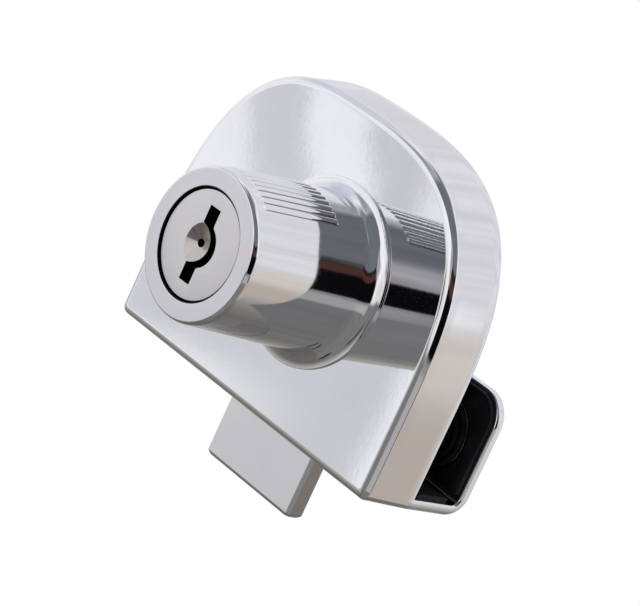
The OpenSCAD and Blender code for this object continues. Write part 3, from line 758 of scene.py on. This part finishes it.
@dataclass
class RibbedKnob:
    """The knob that houses the key plug, with grip ribs along its top and a cove at its foot."""

    finishes: Finishes
    face_d: float = 16.5
    front_d: float = 17.3
    rear_d: float = 18.3
    foot_t: float = 0.3
    cove_l: float = 2.0
    edge_l: float = 0.9
    head_bore_d: float = 12.5
    head_l: float = 2.0
    recess: float = 0.25
    bore_d: float = 10.1
    rib_count: int = 13
    rib_pitch: float = 5.8
    rib_w: float = 0.82
    rib_h: float = 0.15
    rib_nose: float = 4.0
    rib_power: float = 2.8
    groove_w: float = 0.14
    groove_start: float = 0.7
    groove_end: float = 0.25
    rib_start: float = 1.3
    rib_l: float = 11.4
    spigot_r: float = 6.2
    lip_w: float = 1.9

    def __post_init__(self) -> None:
        """Take the places from the frame."""
        low, high = node_box("cylinder_housing")
        self.face, self.rear, self.foot_r = low[1], high[1], (high[0] - low[0]) / 2
        self.seat = node_box("lock_body")[0][1]
        self.rib_front = self.face + self.rib_start
        self.rib_rear = self.rib_front + self.rib_l

    def profile(self) -> list[Point2]:
        """Give the housing's section as radius and Y."""
        face_r, front_r, rear_r = self.face_d / 2, self.front_d / 2, self.rear_d / 2
        start, cove = self.face + self.edge_l, self.seat - self.foot_t - self.cove_l
        points = [(face_r - 0.05, self.face)]
        points += [(face_r + (front_r - face_r) * math.sin(t), self.face + self.edge_l * (1 - math.cos(t)))
                   for t in angles(0, 90, 13)]
        ends = [np.linspace(y - 0.1, y + 0.1, 5) for y in (self.rib_front, self.rib_rear)]
        noses = [np.linspace(y, y + 0.6, 8) for y in (self.rib_front, self.rib_rear - 0.6)]
        taper = (rear_r - front_r) / (cove - start)
        points += [(front_r + taper * (y - start), float(y))
                   for y in np.unique(np.concatenate([np.linspace(start, cove, 60)[1:-1], *ends, *noses]))]
        points += [(self.foot_r - (self.foot_r - rear_r) * math.cos(t), cove + self.cove_l * math.sin(t))
                   for t in angles(0, 88, 23)]
        points += soften([(self.foot_r, self.seat - self.foot_t, 0.08), (self.foot_r, self.seat, 0.05),
                          (self.spigot_r, self.seat, 0.0)])
        shoulder = self.face + self.recess + self.head_l
        head_r, bore_r = self.head_bore_d / 2, self.bore_d / 2
        points += [(self.spigot_r, self.rear), (bore_r, self.rear), (bore_r, shoulder), (head_r, shoulder),
                   (head_r, self.face + 0.1), (head_r + 0.05, self.face + 0.03), (head_r + 0.12, self.face),
                   (head_r + 0.2, self.face)]
        return points

    def columns(self) -> np.ndarray:
        """Give the angles of the mesh's columns, close together where the ribs are."""
        half = math.radians(self.rib_pitch * (self.rib_count / 2 + 0.4))
        fine = np.linspace(-half, half, self.rib_count * 20 + 1)
        coarse = np.linspace(half, 2 * math.pi - half, 150)[1:-1]
        return np.concatenate([fine, coarse])

    def rib_tree(self) -> bpy.types.NodeTree:
        """Write the node tree that raises the grip ribs on the knob's side.

        Returns:
            The tree, with a named input for each size.
        """
        tree = bpy.data.node_groups.new("grip_ribs", "GeometryNodeTree")
        face = tree.interface
        face.new_socket("Geometry", in_out="INPUT", socket_type="NodeSocketGeometry")
        for name in self.rib_sizes():
            face.new_socket(name, in_out="INPUT", socket_type="NodeSocketFloat")
        face.new_socket("Geometry", in_out="OUTPUT", socket_type="NodeSocketGeometry")
        graph = Graph(tree)
        plus, minus, times, over, larger = (
            partial(graph.math, name) for name in ("ADD", "SUBTRACT", "MULTIPLY", "DIVIDE", "MAXIMUM"))
        given = graph.add("NodeGroupInput").outputs
        place = graph.parts(graph.add("GeometryNodeInputPosition").outputs[0])
        radius = graph.length(place[0], place[2])
        turn = over(graph.math("ARCTAN2", place[0], place[2]), given["Rib pitch"])
        last = over(minus(given["Rib count"], 1.0), 2.0)
        nearest = larger(graph.math("MINIMUM", graph.math("ROUND", turn), last), times(last, -1.0))
        across = times(times(minus(turn, nearest), given["Rib pitch"]), radius)
        half = over(given["Rib width"], 2.0)
        nose = times(half, self.rib_nose)
        before = over(minus(plus(given["Rib front"], nose), place[1]), self.rib_nose)
        behind = minus(place[1], minus(given["Rib rear"], half))
        share = over(graph.length(across, larger(larger(before, behind), 0.0)), half)
        crown = larger(minus(1.0, graph.math("POWER", share, self.rib_power)), 0.0)
        lift = times(crown, given["Rib height"])
        outward = graph.add("ShaderNodeCombineXYZ", X=over(times(place[0], lift), radius), Y=0.0,
                            Z=over(times(place[2], lift), radius)).outputs[0]
        outside = graph.add("FunctionNodeCompare", {"operation": "GREATER_THAN"}, in_0=radius,
                            in_1=self.head_bore_d / 2 * MM + MM)
        moved = graph.add("GeometryNodeSetPosition", Geometry=given["Geometry"], Selection=outside.outputs[0],
                          Offset=outward).outputs[0]
        real = graph.add("GeometryNodeRealizeInstances", Geometry=moved).outputs[0]
        painted = graph.add("GeometryNodeSetMaterial", Geometry=real, Material=self.finishes["knob_chrome"]).outputs[0]
        graph.add("NodeGroupOutput", in_0=painted)
        return tree

    def rib_sizes(self) -> dict[str, float]:
        """Give the rib tree's sizes in metres and radians."""
        return {
            "Rib count": float(self.rib_count), "Rib pitch": math.radians(self.rib_pitch),
            "Rib width": self.rib_w * MM, "Rib height": self.rib_h * MM,
            "Rib front": self.rib_front * MM, "Rib rear": self.rib_rear * MM,
        }

    def in_groove(self, place: Vector, normal: Vector) -> bool:
        """Say whether a face lies in the narrow groove between two ribs, which gets painted shade."""
        turn = math.degrees(math.atan2(place.x, place.z)) / self.rib_pitch
        inside = self.rib_front + self.groove_start < place.y < self.rib_rear - self.groove_end
        if abs(turn) > self.rib_count / 2 + 0.1 or not inside:
            return False
        reach = self.groove_w / 2 / (self.front_d / 2 * math.radians(self.rib_pitch))
        return math.hypot(place.x, place.z) > self.face_d / 2 and abs(turn - round(turn)) > 0.5 - reach

    def in_ring(self, place: Vector, normal: Vector) -> bool:
        """Say whether a face lies in the flat front ring."""
        return place.y < self.face + 0.01 and normal.y < -0.95

    def in_bore(self, place: Vector, normal: Vector) -> bool:
        """Say whether a face lies in the bore, which is painted near black as shade."""
        return math.hypot(place.x, place.z) < self.face_d / 2 - self.lip_w

    def build(self) -> None:
        """Make and dress the knob."""
        piece = turned("ribbed_knob", self.profile(), self.columns())
        modifier = piece.modifiers.new("ribs", "NODES")
        modifier.node_group = self.rib_tree()
        sizes = self.rib_sizes()
        for item in modifier.node_group.interface.items_tree:
            if item.name in sizes:
                modifier[item.identifier] = sizes[item.name]
        settle(piece)
        # The bore is painted near black as shade, and the rib grooves get a darker painted shade.
        complete(piece, self.finishes, ["knob_chrome", "ring_satin", "keyway_shade_black", "groove_shade"], "body",
                 "cylinder_housing", 30.0, [self.in_ring, self.in_bore, self.in_groove])


@dataclass
class KeyPlug:
    """The turning plug with its crescent keyway, polished dimple and wafer slots."""

    finishes: Finishes
    head_r: float = 6.09
    barrel_r: float = 5.0
    head_l: float = 1.9
    barrel_l: float = 19.6
    tail_w: float = 3.6
    keyway_w: float = 1.8
    keyway_h: float = 8.7
    keyway_depth: float = 15.5
    crescent_r: float = 2.5
    crescent_inner: float = 1.0
    join_round: float = 0.35
    dimple_r: float = 2.4
    dimple_depth: float = 1.0
    dimple_shift: float = -0.75
    dimple_end: float = 0.97
    past: float = 0.3
    point_d: float = 0.95
    point_depth: float = 1.6
    wafer_start: float = 3.6
    wafer_pitch: float = 2.2
    wafer_count: int = 5
    wafer_w: float = 5.84
    wafer_t: float = 1.12
    lug_x: float = 3.92
    lug_z: float = 3.9
    lug_room: float = 0.24
    spring_x: float = 3.3
    spring_d: float = 0.92
    spring_l: float = 2.4

    def __post_init__(self) -> None:
        """Take the places from the frame."""
        low, high = node_box("key_plug")
        self.face, self.rear = low[1], high[1]

    def keyway(self) -> list[Point2]:
        """Give the keyway's outline in X and Z: two straight slots joined by a crescent."""
        half, top, corner = self.keyway_w / 2, self.keyway_h / 2, 0.05
        join = math.sqrt(self.crescent_r ** 2 - half ** 2)
        swing = math.degrees(math.asin(join / self.crescent_r))
        bulge = [(x, z, 0.0) for x, z in arc((0, 0), self.crescent_r, swing - 8, 8 - swing, 40)]
        rise = self.crescent_inner + half
        inner_r = (join ** 2 + rise ** 2) / (2 * rise)
        lean = math.degrees(math.asin(join / inner_r))
        tongue = [(x, z, 0.0) for x, z in arc((self.crescent_inner - inner_r, 0), inner_r, -lean, lean, 40)]
        return soften([(-half, top, corner), (half, top, corner), (half, join + 0.05, self.join_round), *bulge,
                       (half, -join - 0.05, self.join_round), (half, -top, corner), (-half, -top, corner), *tongue],
                      10.0)

    def spring_pocket(self, y: float) -> Piece:
        """Make the cutter of one spring's pocket, which stands upright beside its wafer."""
        low, high = -self.spring_l - self.lug_room, self.lug_room
        ring = np.array(arc((self.spring_x, y), self.spring_d / 2, 0, 345, 23))
        return loft("spring_pocket", [np.column_stack([ring, np.full(len(ring), z)]) for z in (low, high)])

    def dimple(self) -> Piece:
        """Make the cutter of the dimple, a cone whose apex lies to one side."""
        rings = []
        for share in (-self.past / self.dimple_depth, self.dimple_end):
            ring = arc((self.dimple_shift * share, 0.0), self.dimple_r * (1 - share), 0, 358, 179)
            rings.append(at_depth(ring, self.face + self.dimple_depth * share))
        return loft("dimple", rings)

    def cut(self, piece: Piece, cutter: Piece, index: int) -> None:
        """Cut the plug, with one of its materials on the cut's faces.

        Args:
            piece: the plug.
            cutter: the cutter, which is used up.
            index: the material's place in the plug.
        """
        dress(cutter, *[piece.data.materials[index]] * (index + 1))
        paint_faces(cutter, index, every_face)
        combine(piece, cutter, "DIFFERENCE")

    def build(self) -> None:
        """Make and dress the plug."""
        shoulder, barrel_end = self.face + self.head_l, self.face + self.barrel_l
        profile = soften([
            (0.0, self.face, 0.0), (self.head_r, self.face, 0.12), (self.head_r, shoulder, 0.05),
            (self.barrel_r, shoulder, 0.0), (self.barrel_r, barrel_end, 0.1), (0.0, barrel_end, 0.0),
        ], 15.0)
        piece = turned("key_plug_face", profile, 256)
        dress(piece, *(self.finishes[name] for name in ("plug_nickel", "dimple_polish_and_shade", "keyway_shade_black")))
        half = self.tail_w / 2
        combine(piece, block("tail", (-half, barrel_end - 0.5, -half), (half, self.rear, half)), "UNION")
        # The dimple gets the polished metal, painted darker as shade.
        self.cut(piece, self.dimple(), 1)
        start, point_r = self.face - self.past, self.point_d / 2
        point = [(0.0, start), (point_r, start), (point_r, self.face + self.point_depth - 0.2),
                 (0.0, self.face + self.point_depth)]
        cutters = [turned("point", point, 64, (self.dimple_shift, 0.0)),
                   slab("keyway", self.keyway(), start, self.face + self.keyway_depth)]
        half, reach = self.wafer_w / 2, self.barrel_r + CUT_PAST
        for i in range(self.wafer_count):
            rear = self.face + self.wafer_start + i * self.wafer_pitch
            front = rear - self.wafer_t
            cutters += [block("wafer_slot", (-half, front, -reach), (half, rear, reach)),
                        block("lug_room", (0.0, front, -self.lug_room), (self.lug_x, rear, self.lug_z)),
                        self.spring_pocket(rear - self.wafer_t / 2)]
        # The keyway, the drilled point and the wafer rooms are painted near black as shade in their depth.
        for cutter in cutters:
            self.cut(piece, cutter, 2)
        polish(piece, 18.0)
        stand_for(piece, "plug", "key_plug")


@dataclass
class SlidingBolt:
    """The flat bolt with softened chamfers and the cam slot that the driver's pin works in."""

    finishes: Finishes
    chamfer: float = 0.4
    soft: float = 0.12
    crank: float = 4.0
    slot_r: float = 1.52

    def cam_slot(self) -> list[Point2]:
        """Give the slot in which an even turn of the key makes an even travel of the bolt."""
        rate = 2 / math.pi
        path = []
        for turn in np.linspace(0, math.pi, 31):
            x, z = -self.crank * math.sin(turn), self.crank * (1 - math.cos(turn)) - rate * self.crank * turn
            along = np.array((-math.cos(turn), math.sin(turn) - rate))
            along = along / np.linalg.norm(along)
            path.append((x - self.slot_r * along[1], z + self.slot_r * along[0] - self.crank))
        corner = math.degrees(math.atan2(1, rate))
        return path + arc((0.0, -self.crank), self.slot_r, corner, -corner, 20)

    def section(self, z: float, inset: float) -> np.ndarray:
        """Give the bolt's section at a height, drawn in by an inset."""
        low, high = node_box("lock_bolt")
        c, (x0, y0), (x1, y1) = self.chamfer, low[:2] + inset, high[:2] - inset
        corners = [(x0 + c, y0), (x1 - c, y0), (x1, y0 + c), (x1, y1 - c), (x1 - c, y1), (x0 + c, y1),
                   (x0, y1 - c), (x0, y0 + c)]
        return np.array([(x, y, z) for x, y in soften([(x, y, self.soft) for x, y in corners])])

    def build(self) -> None:
        """Make and dress the bolt."""
        low, high = node_box("lock_bolt")
        c = self.chamfer
        ends = [(low[2], c), (low[2] + 0.04, c - 0.04 * 1.6), (low[2] + c * 0.5, c * 0.42), (low[2] + c, 0.03),
                (low[2] + c + 0.1, 0.0), (high[2] - c, 0.0), (high[2], 0.0)]
        piece = loft("flat_bolt", [self.section(z, inset) for z, inset in ends])
        combine(piece, slab("cam_slot", self.cam_slot(), low[1] - CUT_PAST, high[1] + CUT_PAST), "DIFFERENCE")
        # The faces that point along X get the darker painted shade.
        complete(piece, self.finishes, ["bolt_steel", "bolt_end_shade"], "bolt", "lock_bolt", 35.0,
                 [lambda place, normal: abs(normal.x) > 0.9])


@dataclass
class ClampFoot:
    """One clamp screw with its socket and thread, and the round steel and rubber foot at its tip."""

    finishes: Finishes
    side: Side
    pitch: float = 0.8
    thread_depth: float = 0.3
    socket_af: float = 2.5
    socket_depth: float = 2.4
    chamfer: float = 0.4
    tip_d: float = 2.4
    rings: int = 3
    ring_h: float = 0.25
    ring_top: float = 0.25
    flank: float = 0.2

    def __post_init__(self) -> None:
        """Take the places from the frame."""
        name = self.side.value
        self.place = screw_axis(self.side)
        low, high = node_box(f"{name}_clamp_screw")
        self.radius, self.tip, self.end = float(high[0] - low[0]) / 2, low[1], high[1]
        low, high = node_box(f"{name}_foot")
        self.foot_r, self.foot_front, self.foot_rear = float(high[0] - low[0]) / 2, low[1], high[1]
        self.rubber_face = node_box(f"{name}_foot_rubber")[0][1]

    def thread_reach(self, r: float, y: float, turn: float) -> float:
        """Draw the threaded length's radius in where a groove runs.

        Args:
            r: the profile's radius, which is the thread's own only along the threaded length.
            y: the point's Y.
            turn: its angle in radians.

        Returns:
            The radius.
        """
        if r < self.radius:
            return r
        phase = (y / self.pitch + turn / (2 * math.pi)) % 1.0
        room = min(1.0, (y - self.foot_rear) / self.pitch, (self.end - y) / (0.6 * self.pitch))
        groove = min(1.0, max(0.0, 1.6 * abs(2 * phase - 1) - 0.3))
        return r - self.thread_depth * max(groove, 1 - room)

    def screw(self) -> Piece:
        """Make the screw: its tip, threaded length, chamfer and hexagon socket."""
        tip_r, start, root = self.tip_d / 2, self.foot_rear, self.radius - self.thread_depth
        profile = [(0.0, self.tip), (tip_r - 0.15, self.tip), (tip_r, self.tip + 0.15), (tip_r, start),
                   (self.radius - 0.5, start), (root, start + 0.2)]
        profile += [(self.radius, float(y)) for y in np.arange(start + 0.25, self.end - 0.3, self.pitch / 10)]
        profile += [(root, self.end - 0.24), (self.radius - self.chamfer, self.end), (0.0, self.end)]
        piece = turned(f"{self.side.value}_set_screw", profile, 96, self.place, self.thread_reach)
        corner = self.socket_af / math.sqrt(3)
        hexagon = arc(self.place, corner, 0, 300, 5)
        combine(piece, slab("socket", hexagon, self.end - self.socket_depth, self.end + CUT_PAST), "DIFFERENCE")
        lead = corner + 0.15
        cone = [(0.0, self.end - lead), (lead + 0.5, self.end + 0.5), (0.0, self.end + 0.5)]
        combine(piece, turned("lead_in", cone, 48, self.place), "DIFFERENCE")
        return piece

    def disc(self, kind: str, corners: Sequence[Point3], step: float) -> Piece:
        """Turn one of the foot's two discs from its corners."""
        return turned(f"{self.side.value}_{kind}_disc", soften(corners, step), 160, self.place)

    def build(self) -> None:
        """Make and dress the screw, the foot and its rubber."""
        name = self.side.value
        complete(self.screw(), self.finishes, ["clamp_screw_steel"], f"{name}_screw", f"{name}_clamp_screw", 40.0)
        bore, r, front, rear = self.tip_d / 2 + 0.05, self.foot_r, self.foot_front, self.foot_rear
        steel = self.disc("steel", [(bore, front, 0.0), (r, front, 0.05), (r, rear, 0.2), (bore, rear, 0.08)], 15.0)
        complete(steel, self.finishes, ["driver_steel"], f"{name}_foot", f"{name}_foot")
        step, base, face = r / (self.rings + 1), self.rubber_face + self.ring_h, self.rubber_face
        corners = [(0.0, front, 0.0), (r, front, 0.0)]
        for i in range(self.rings + 1, 0, -1):
            crest = step * i
            if i <= self.rings:
                corners.append((crest + self.flank, base, 0.06))
            corners += [(crest, face, 0.09), (crest - self.ring_top, face, 0.09),
                        (crest - self.ring_top - self.flank, base, 0.06)]
        rubber = self.disc("rubber", [*corners, (0.0, base, 0.0)], 20.0)
        complete(rubber, self.finishes, ["pad_rubber"], f"{name}_foot", f"{name}_foot_rubber")


@dataclass
class DoorPads:
    """The three rubber pads between the glass and the metal."""

    finishes: Finishes
    body: LockBody
    margin: float = 0.5
    soft: float = 0.15
    hole_d: float = 9.0

    def cushion(self, name: str, outline: Callable[[float], np.ndarray], front: float, rear: float) -> Piece:
        """Make a flat pad with rounded rims.

        Args:
            name: the pad's name.
            outline: gives the outline in X and Z at an inset.
            front: its first Y.
            rear: its last Y.

        Returns:
            The pad.
        """
        levels = []
        for base, inward, ends in ((front, 1, (0, 90)), (rear, -1, (90, 0))):
            levels += [(inset, base + inward * depth) for depth, inset in quarter(self.soft, *ends, 5)]
        return loft(name, [at_depth(outline(inset), y) for inset, y in levels])

    def arch(self, inset: float) -> np.ndarray:
        """Give the front pad's outline at an inset."""
        flat = self.body.outline(self.margin - self.body.flare + inset, 0.0)
        flat[:, 1] = np.maximum(flat[:, 1], node_box("front_pad")[0][2] + inset)
        return flat

    def panel(self, inset: float) -> np.ndarray:
        """Give the rear pad's outline at an inset: a rectangle with small lower and large upper roundings."""
        low, high = node_box("rear_pad")
        x0, x1, z0, z1 = low[0] + inset, high[0] - inset, low[2] + inset, high[2] - inset
        a, b = (max(r - inset, 0.02) for r in (self.margin, self.body.jaw_round - self.margin))
        return np.array(arc((x1 - b, z1 - b), b, 0, 90, 12) + arc((x0 + b, z1 - b), b, 90, 180, 12)
                        + arc((x0 + a, z0 + a), a, 180, 270, 6) + arc((x1 - a, z0 + a), a, 270, 360, 6))

    def build(self) -> None:
        """Make and dress the pads."""
        low, high = node_box("front_pad")
        pads = {"front_pad": self.cushion("front_rubber", self.arch, low[1], high[1])}
        low, high = node_box("rear_pad")
        rear = pads["rear_pad"] = self.cushion("rear_rubber", self.panel, low[1], high[1])
        for place in map(screw_axis, Side):
            combine(rear, rod("hole", self.hole_d / 2, low[1] - CUT_PAST, high[1] + CUT_PAST, place), "DIFFERENCE")
        low, high = node_box("edge_pad")
        section = soften([(low[1], low[2], 0.05), (high[1], low[2], 0.05), (high[1], high[2], self.soft),
                          (low[1], high[2], self.soft)], 20.0)
        rings = [np.array([(x, *point) for point in section]) for x in (low[0], high[0])]
        pads["edge_pad"] = loft("edge_rubber", rings)
        for node, pad in pads.items():
            complete(pad, self.finishes, ["pad_rubber"], "body", node)


@dataclass(frozen=True)
class Zone:
    """One soft-edged zone of the studio that the chrome mirrors, in degrees."""

    azimuth: float
    elevation: float
    half_w: float
    half_h: float
    soft_w: float
    soft_h: float
    colour: Colour


@dataclass(frozen=True)
class StudioWalls:
    """What stands round the object: a bright window side, a dark room side and a table that darkens nearby.

    The zones are laid over the walls in their order, then the curtain, then the sheens. A fold is a
    place across the curtain, from 0 to 1, and the curtain's brightness there.
    """

    sky: Colour = (0.92, 0.92, 0.96)
    horizon: Colour = (0.56, 0.54, 0.50)
    table: Colour = (0.15, 0.145, 0.135)
    zones: tuple[Zone, ...] = (
        Zone(-85.0, 40.0, 36.0, 16.0, 18.0, 8.0, (0.66, 0.69, 0.80)),
        Zone(180.0, 22.0, 64.0, 36.0, 8.0, 6.0, (0.76, 0.76, 0.80)),
        Zone(0.0, 90.0, 400.0, 20.0, 5.0, 9.0, (0.24, 0.24, 0.26)),
        Zone(42.0, 59.5, 70.0, 31.5, 10.0, 2.5, (0.160, 0.170, 0.188)),
        Zone(-40.0, 50.0, 14.0, 16.0, 8.0, 6.0, (0.33, 0.34, 0.38)),
        Zone(48.0, -49.0, 66.0, 42.0, 10.0, 2.0, (0.205, 0.200, 0.200)),
        Zone(-2.0, 10.5, 19.0, 16.5, 6.0, 4.0, (1.0, 1.0, 1.04)),
        Zone(-2.0, -1.0, 19.0, 5.5, 6.0, 3.5, (0.80, 0.76, 0.71)),
        Zone(24.0, 24.0, 10.0, 9.0, 5.0, 4.0, (0.40, 0.40, 0.42)),
        Zone(119.0, 30.0, 4.0, 34.0, 2.0, 6.0, (1.1, 1.1, 1.1)),
        Zone(75.0, 21.0, 38.0, 8.5, 8.0, 1.5, (0.020, 0.018, 0.020)),
        Zone(73.0, 20.5, 36.0, 3.5, 8.0, 1.5, (0.085, 0.034, 0.027)),
        Zone(75.0, 4.5, 43.0, 11.5, 5.0, 2.0, (0.003, 0.003, 0.004)),
        Zone(76.0, -13.4, 38.0, 4.7, 6.0, 1.6, (0.44, 0.44, 0.45)),
        Zone(126.0, -5.0, 12.0, 7.0, 4.0, 6.0, (0.66, 0.61, 0.56)),
        Zone(126.0, -24.0, 12.0, 13.0, 4.0, 5.0, (0.50, 0.44, 0.39)),
        Zone(112.0, -12.0, 4.0, 4.0, 2.0, 1.5, (0.010, 0.010, 0.010)),
        Zone(2.0, -27.0, 4.0, 8.0, 3.0, 3.0, (0.03, 0.03, 0.03)),
        Zone(-6.0, -57.0, 12.0, 4.0, 4.0, 2.0, (0.02, 0.02, 0.02)),
        Zone(-17.0, -4.5, 8.0, 2.6, 4.0, 2.0, (0.03, 0.03, 0.03)),
    )
    mottle: float = 0.1
    curtain: Zone = Zone(-45.0, -11.5, 13.0, 6.0, 4.0, 2.5, (0.995, 1.0, 1.06))
    curtain_start: float = -52.6
    curtain_end: float = -46.8
    curtain_lean: float = 0.463
    curtain_waver: float = 0.3
    folds: tuple[Point2, ...] = (
        (0.0, 0.9), (0.23, 0.9), (0.27, 0.65), (0.47, 0.65), (0.51, 0.95), (0.71, 0.95), (0.75, 0.65), (1.0, 0.65))
    sheens: tuple[Zone, ...] = (
        Zone(-42.0, -15.0, 7.0, 3.2, 2.0, 0.8, (0.65, 0.66, 0.70)),
        Zone(-48.0, -16.9, 3.2, 2.9, 1.8, 0.4, (0.93, 0.95, 0.98)),
        Zone(-38.9, -14.5, 2.9, 3.0, 0.3, 1.0, (0.96, 0.98, 1.03)),
        Zone(-40.0, -9.5, 2.95, 2.0, 0.3, 1.0, (0.94, 0.95, 0.97)),
    )


@dataclass
class Studio:
    """White floor and backdrop, soft light, and the camera at the photograph's viewing angle."""

    eye: Point3 = (214.76, -227.708, 62.81)
    right: Point3 = (0.5931, 0.69389, 0.40836)
    down: Point3 = (0.43268, 0.15304, -0.88846)
    lens: float = 159.84
    floor_half: float = 2500.0
    floor_gap: float = 0.05
    floor_glow: float = 1.035
    floor_share: float = 0.95
    lamp_place: Point3 = (-100.0, -350.0, 600.0)
    lamp_d: float = 600.0
    lamp_power: float = 1.2
    walls: StudioWalls = StudioWalls()

    def camera(self) -> None:
        """Place the camera."""
        data = bpy.data.cameras.new("camera")
        data.lens, data.sensor_width = self.lens, 36.0
        data.clip_start, data.clip_end = 0.01, 20.0
        eye = bpy.data.objects.new("camera", data)
        right, down = Vector(self.right).normalized(), Vector(self.down)
        down = (down - right * down.dot(right)).normalized()
        turn = Matrix((right, -down, -right.cross(down))).transposed()
        eye.matrix_world = Matrix.Translation(Vector(self.eye) * MM) @ turn.to_4x4()
        bpy.context.scene.collection.objects.link(eye)
        bpy.context.scene.camera = eye

    def world(self) -> None:
        """Write the studio's surroundings: white to the camera, soft patches to the metal."""
        world = bpy.data.worlds.new("studio")
        world.use_nodes = True
        bpy.context.scene.world = world
        graph, walls = Graph(world.node_tree), self.walls
        way = graph.add("ShaderNodeTexCoord").outputs["Generated"]
        parts = graph.parts(way)
        azimuth = graph.math("ARCTAN2", parts[0], graph.math("MULTIPLY", parts[1], -1.0))
        elevation = graph.math("ARCSINE", parts[2])
        share = partial(self.zone_share, graph, azimuth, elevation)
        low = graph.ramp(elevation, math.radians(-55.0), math.radians(-10.0))
        above = graph.ramp(elevation, math.radians(-15.0), math.radians(-6.0))
        colour = graph.blend(above, graph.blend(low, walls.table, walls.horizon), walls.sky)
        for zone in walls.zones:
            colour = graph.blend(share(zone), colour, zone.colour)
        colour = graph.blend(share(walls.curtain), colour, self.curtain(graph, way, azimuth, elevation))
        for zone in walls.sheens:
            colour = graph.blend(share(zone), colour, zone.colour)
        uneven = graph.ramp(graph.noise(way, 7.0, 4.0, 0.55), 0.25, 0.75, 1 - walls.mottle, 1 + walls.mottle)
        colour = graph.add("ShaderNodeVectorMath", {"operation": "SCALE"}, in_0=colour, Scale=uneven).outputs[0]
        seen = graph.add("ShaderNodeLightPath").outputs["Is Camera Ray"]
        graph.feed(world.node_tree.nodes["Background"], "Color", graph.blend(seen, colour, WHITE))

    def curtain(self, graph: Graph, way: Socket, azimuth: Socket, elevation: Socket) -> Socket:
        """Write the curtain whose soft folds the flat front face mirrors as light and dark bands.

        Args:
            graph: the world's graph.
            way: the direction.
            azimuth: its azimuth in radians.
            elevation: its elevation in radians.

        Returns:
            The curtain's colour in that direction.
        """
        walls = self.walls
        noise = graph.noise(way, 42.0, 1.0, 0.45)
        waver = graph.math("MULTIPLY", graph.math("SUBTRACT", noise, 0.5), math.radians(walls.curtain_waver * 2))
        slant = graph.math("ADD", azimuth, graph.math("MULTIPLY", elevation, walls.curtain_lean))
        place = graph.add("ShaderNodeMapRange", Value=graph.math("ADD", slant, waver),
                          From_Min=math.radians(walls.curtain_start), From_Max=math.radians(walls.curtain_end))
        ramp = graph.add("ShaderNodeValToRGB", Fac=place.outputs[0])
        ramp.color_ramp.interpolation = "EASE"
        stops = ramp.color_ramp.elements
        stops.remove(stops[1])
        for i, (share, level) in enumerate(walls.folds):
            stop = stops[0] if i == 0 else stops.new(share)
            stop.position = share
            stop.color = (*(level * c for c in walls.curtain.colour), 1.0)
        return ramp.outputs[0]

    def zone_share(self, graph: Graph, azimuth: Socket, elevation: Socket, zone: Zone) -> Socket:
        """Write how much a direction lies in a zone.

        Args:
            graph: the world's graph.
            azimuth: the direction's azimuth in radians.
            elevation: the direction's elevation in radians.
            zone: the zone.

        Returns:
            The share from 0 to 1.
        """
        off = graph.math("WRAP", graph.math("SUBTRACT", azimuth, math.radians(zone.azimuth)), math.pi, -math.pi)
        rise = graph.math("SUBTRACT", elevation, math.radians(zone.elevation))
        inside = [
            graph.ramp(graph.math("ABSOLUTE", away), math.radians(half + soft), math.radians(half - soft))
            for away, half, soft in ((off, zone.half_w, zone.soft_w), (rise, zone.half_h, zone.soft_h))
        ]
        return graph.math("MULTIPLY", *inside)

    def floor(self, height: float) -> None:
        """Lay a white floor that keeps the object's shadow."""
        half = self.floor_half
        floor = block("floor", (-half, -half, height - 1.0), (half, half, height))
        material, graph, shader, _ = new_material("white_floor")
        graph.feed(shader, "Base Color", (0.9, 0.9, 0.9))
        shader.inputs["Roughness"].default_value = 0.9
        glow = graph.add("ShaderNodeEmission", Color=WHITE, Strength=self.floor_glow).outputs[0]
        seen = graph.add("ShaderNodeLightPath").outputs["Is Camera Ray"]
        mixed = graph.add("ShaderNodeMixShader", in_0=graph.math("MULTIPLY", seen, self.floor_share),
                          in_1=shader.outputs[0], in_2=glow)
        graph.feed(material.node_tree.nodes["Material Output"], 0, mixed.outputs[0])
        dress(floor, material)
        floor.visible_glossy = False

    def lamp(self) -> None:
        """Hang one large soft lamp over the object, out of the metal's sight."""
        data = bpy.data.lights.new("soft_box", "AREA")
        data.shape, data.size = "DISK", self.lamp_d * MM
        data.energy = self.lamp_power
        lamp = bpy.data.objects.new("soft_box", data)
        lamp.location = Vector(self.lamp_place) * MM
        lamp.rotation_euler = (-lamp.location).to_track_quat("-Z", "Y").to_euler()
        lamp.visible_glossy = False
        bpy.context.scene.collection.objects.link(lamp)

    def build(self, lowest: float) -> None:
        """Set up the whole studio.

        Args:
            lowest: height of the object's lowest point in millimetres.
        """
        self.camera()
        self.world()
        self.floor(lowest - self.floor_gap)
        self.lamp()
        bpy.context.scene.view_settings.view_transform = "Standard"


def dress_frame(finishes: Finishes) -> None:
    """Give the CAD nodes that stay in view inside the lock their materials.

    Args:
        finishes: the lock's finishes.
    """
    chosen = {
        "wafers": "wafer_brass", "wafer_springs": "spring_steel", "driver_disc": "driver_steel",
        "tail_screw": "screw_steel", "housing_screws": "screw_steel", "back_plate": "plate_steel",
        "back_plate_screws": "screw_steel",
    }
    for node, finish in chosen.items():
        dress(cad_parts[node], finishes[finish])
        LOG.info("%s keeps its CAD shape", node)


def main() -> None:
    """Build the lock's pieces, dress them and set up the studio."""
    logging.basicConfig(level=logging.INFO, format="%(name)s: %(message)s")
    finishes = {finish.name: finish.material() for finish in FINISHES}
    dress_frame(finishes)
    body = LockBody(finishes)
    pieces = [body, RibbedKnob(finishes), KeyPlug(finishes), SlidingBolt(finishes),
              *(ClampFoot(finishes, side) for side in Side), DoorPads(finishes, body)]
    for piece in pieces:
        piece.build()
    Studio().build(node_box("lock_bolt")[0][2])


if __name__ == "__main__":
    main()
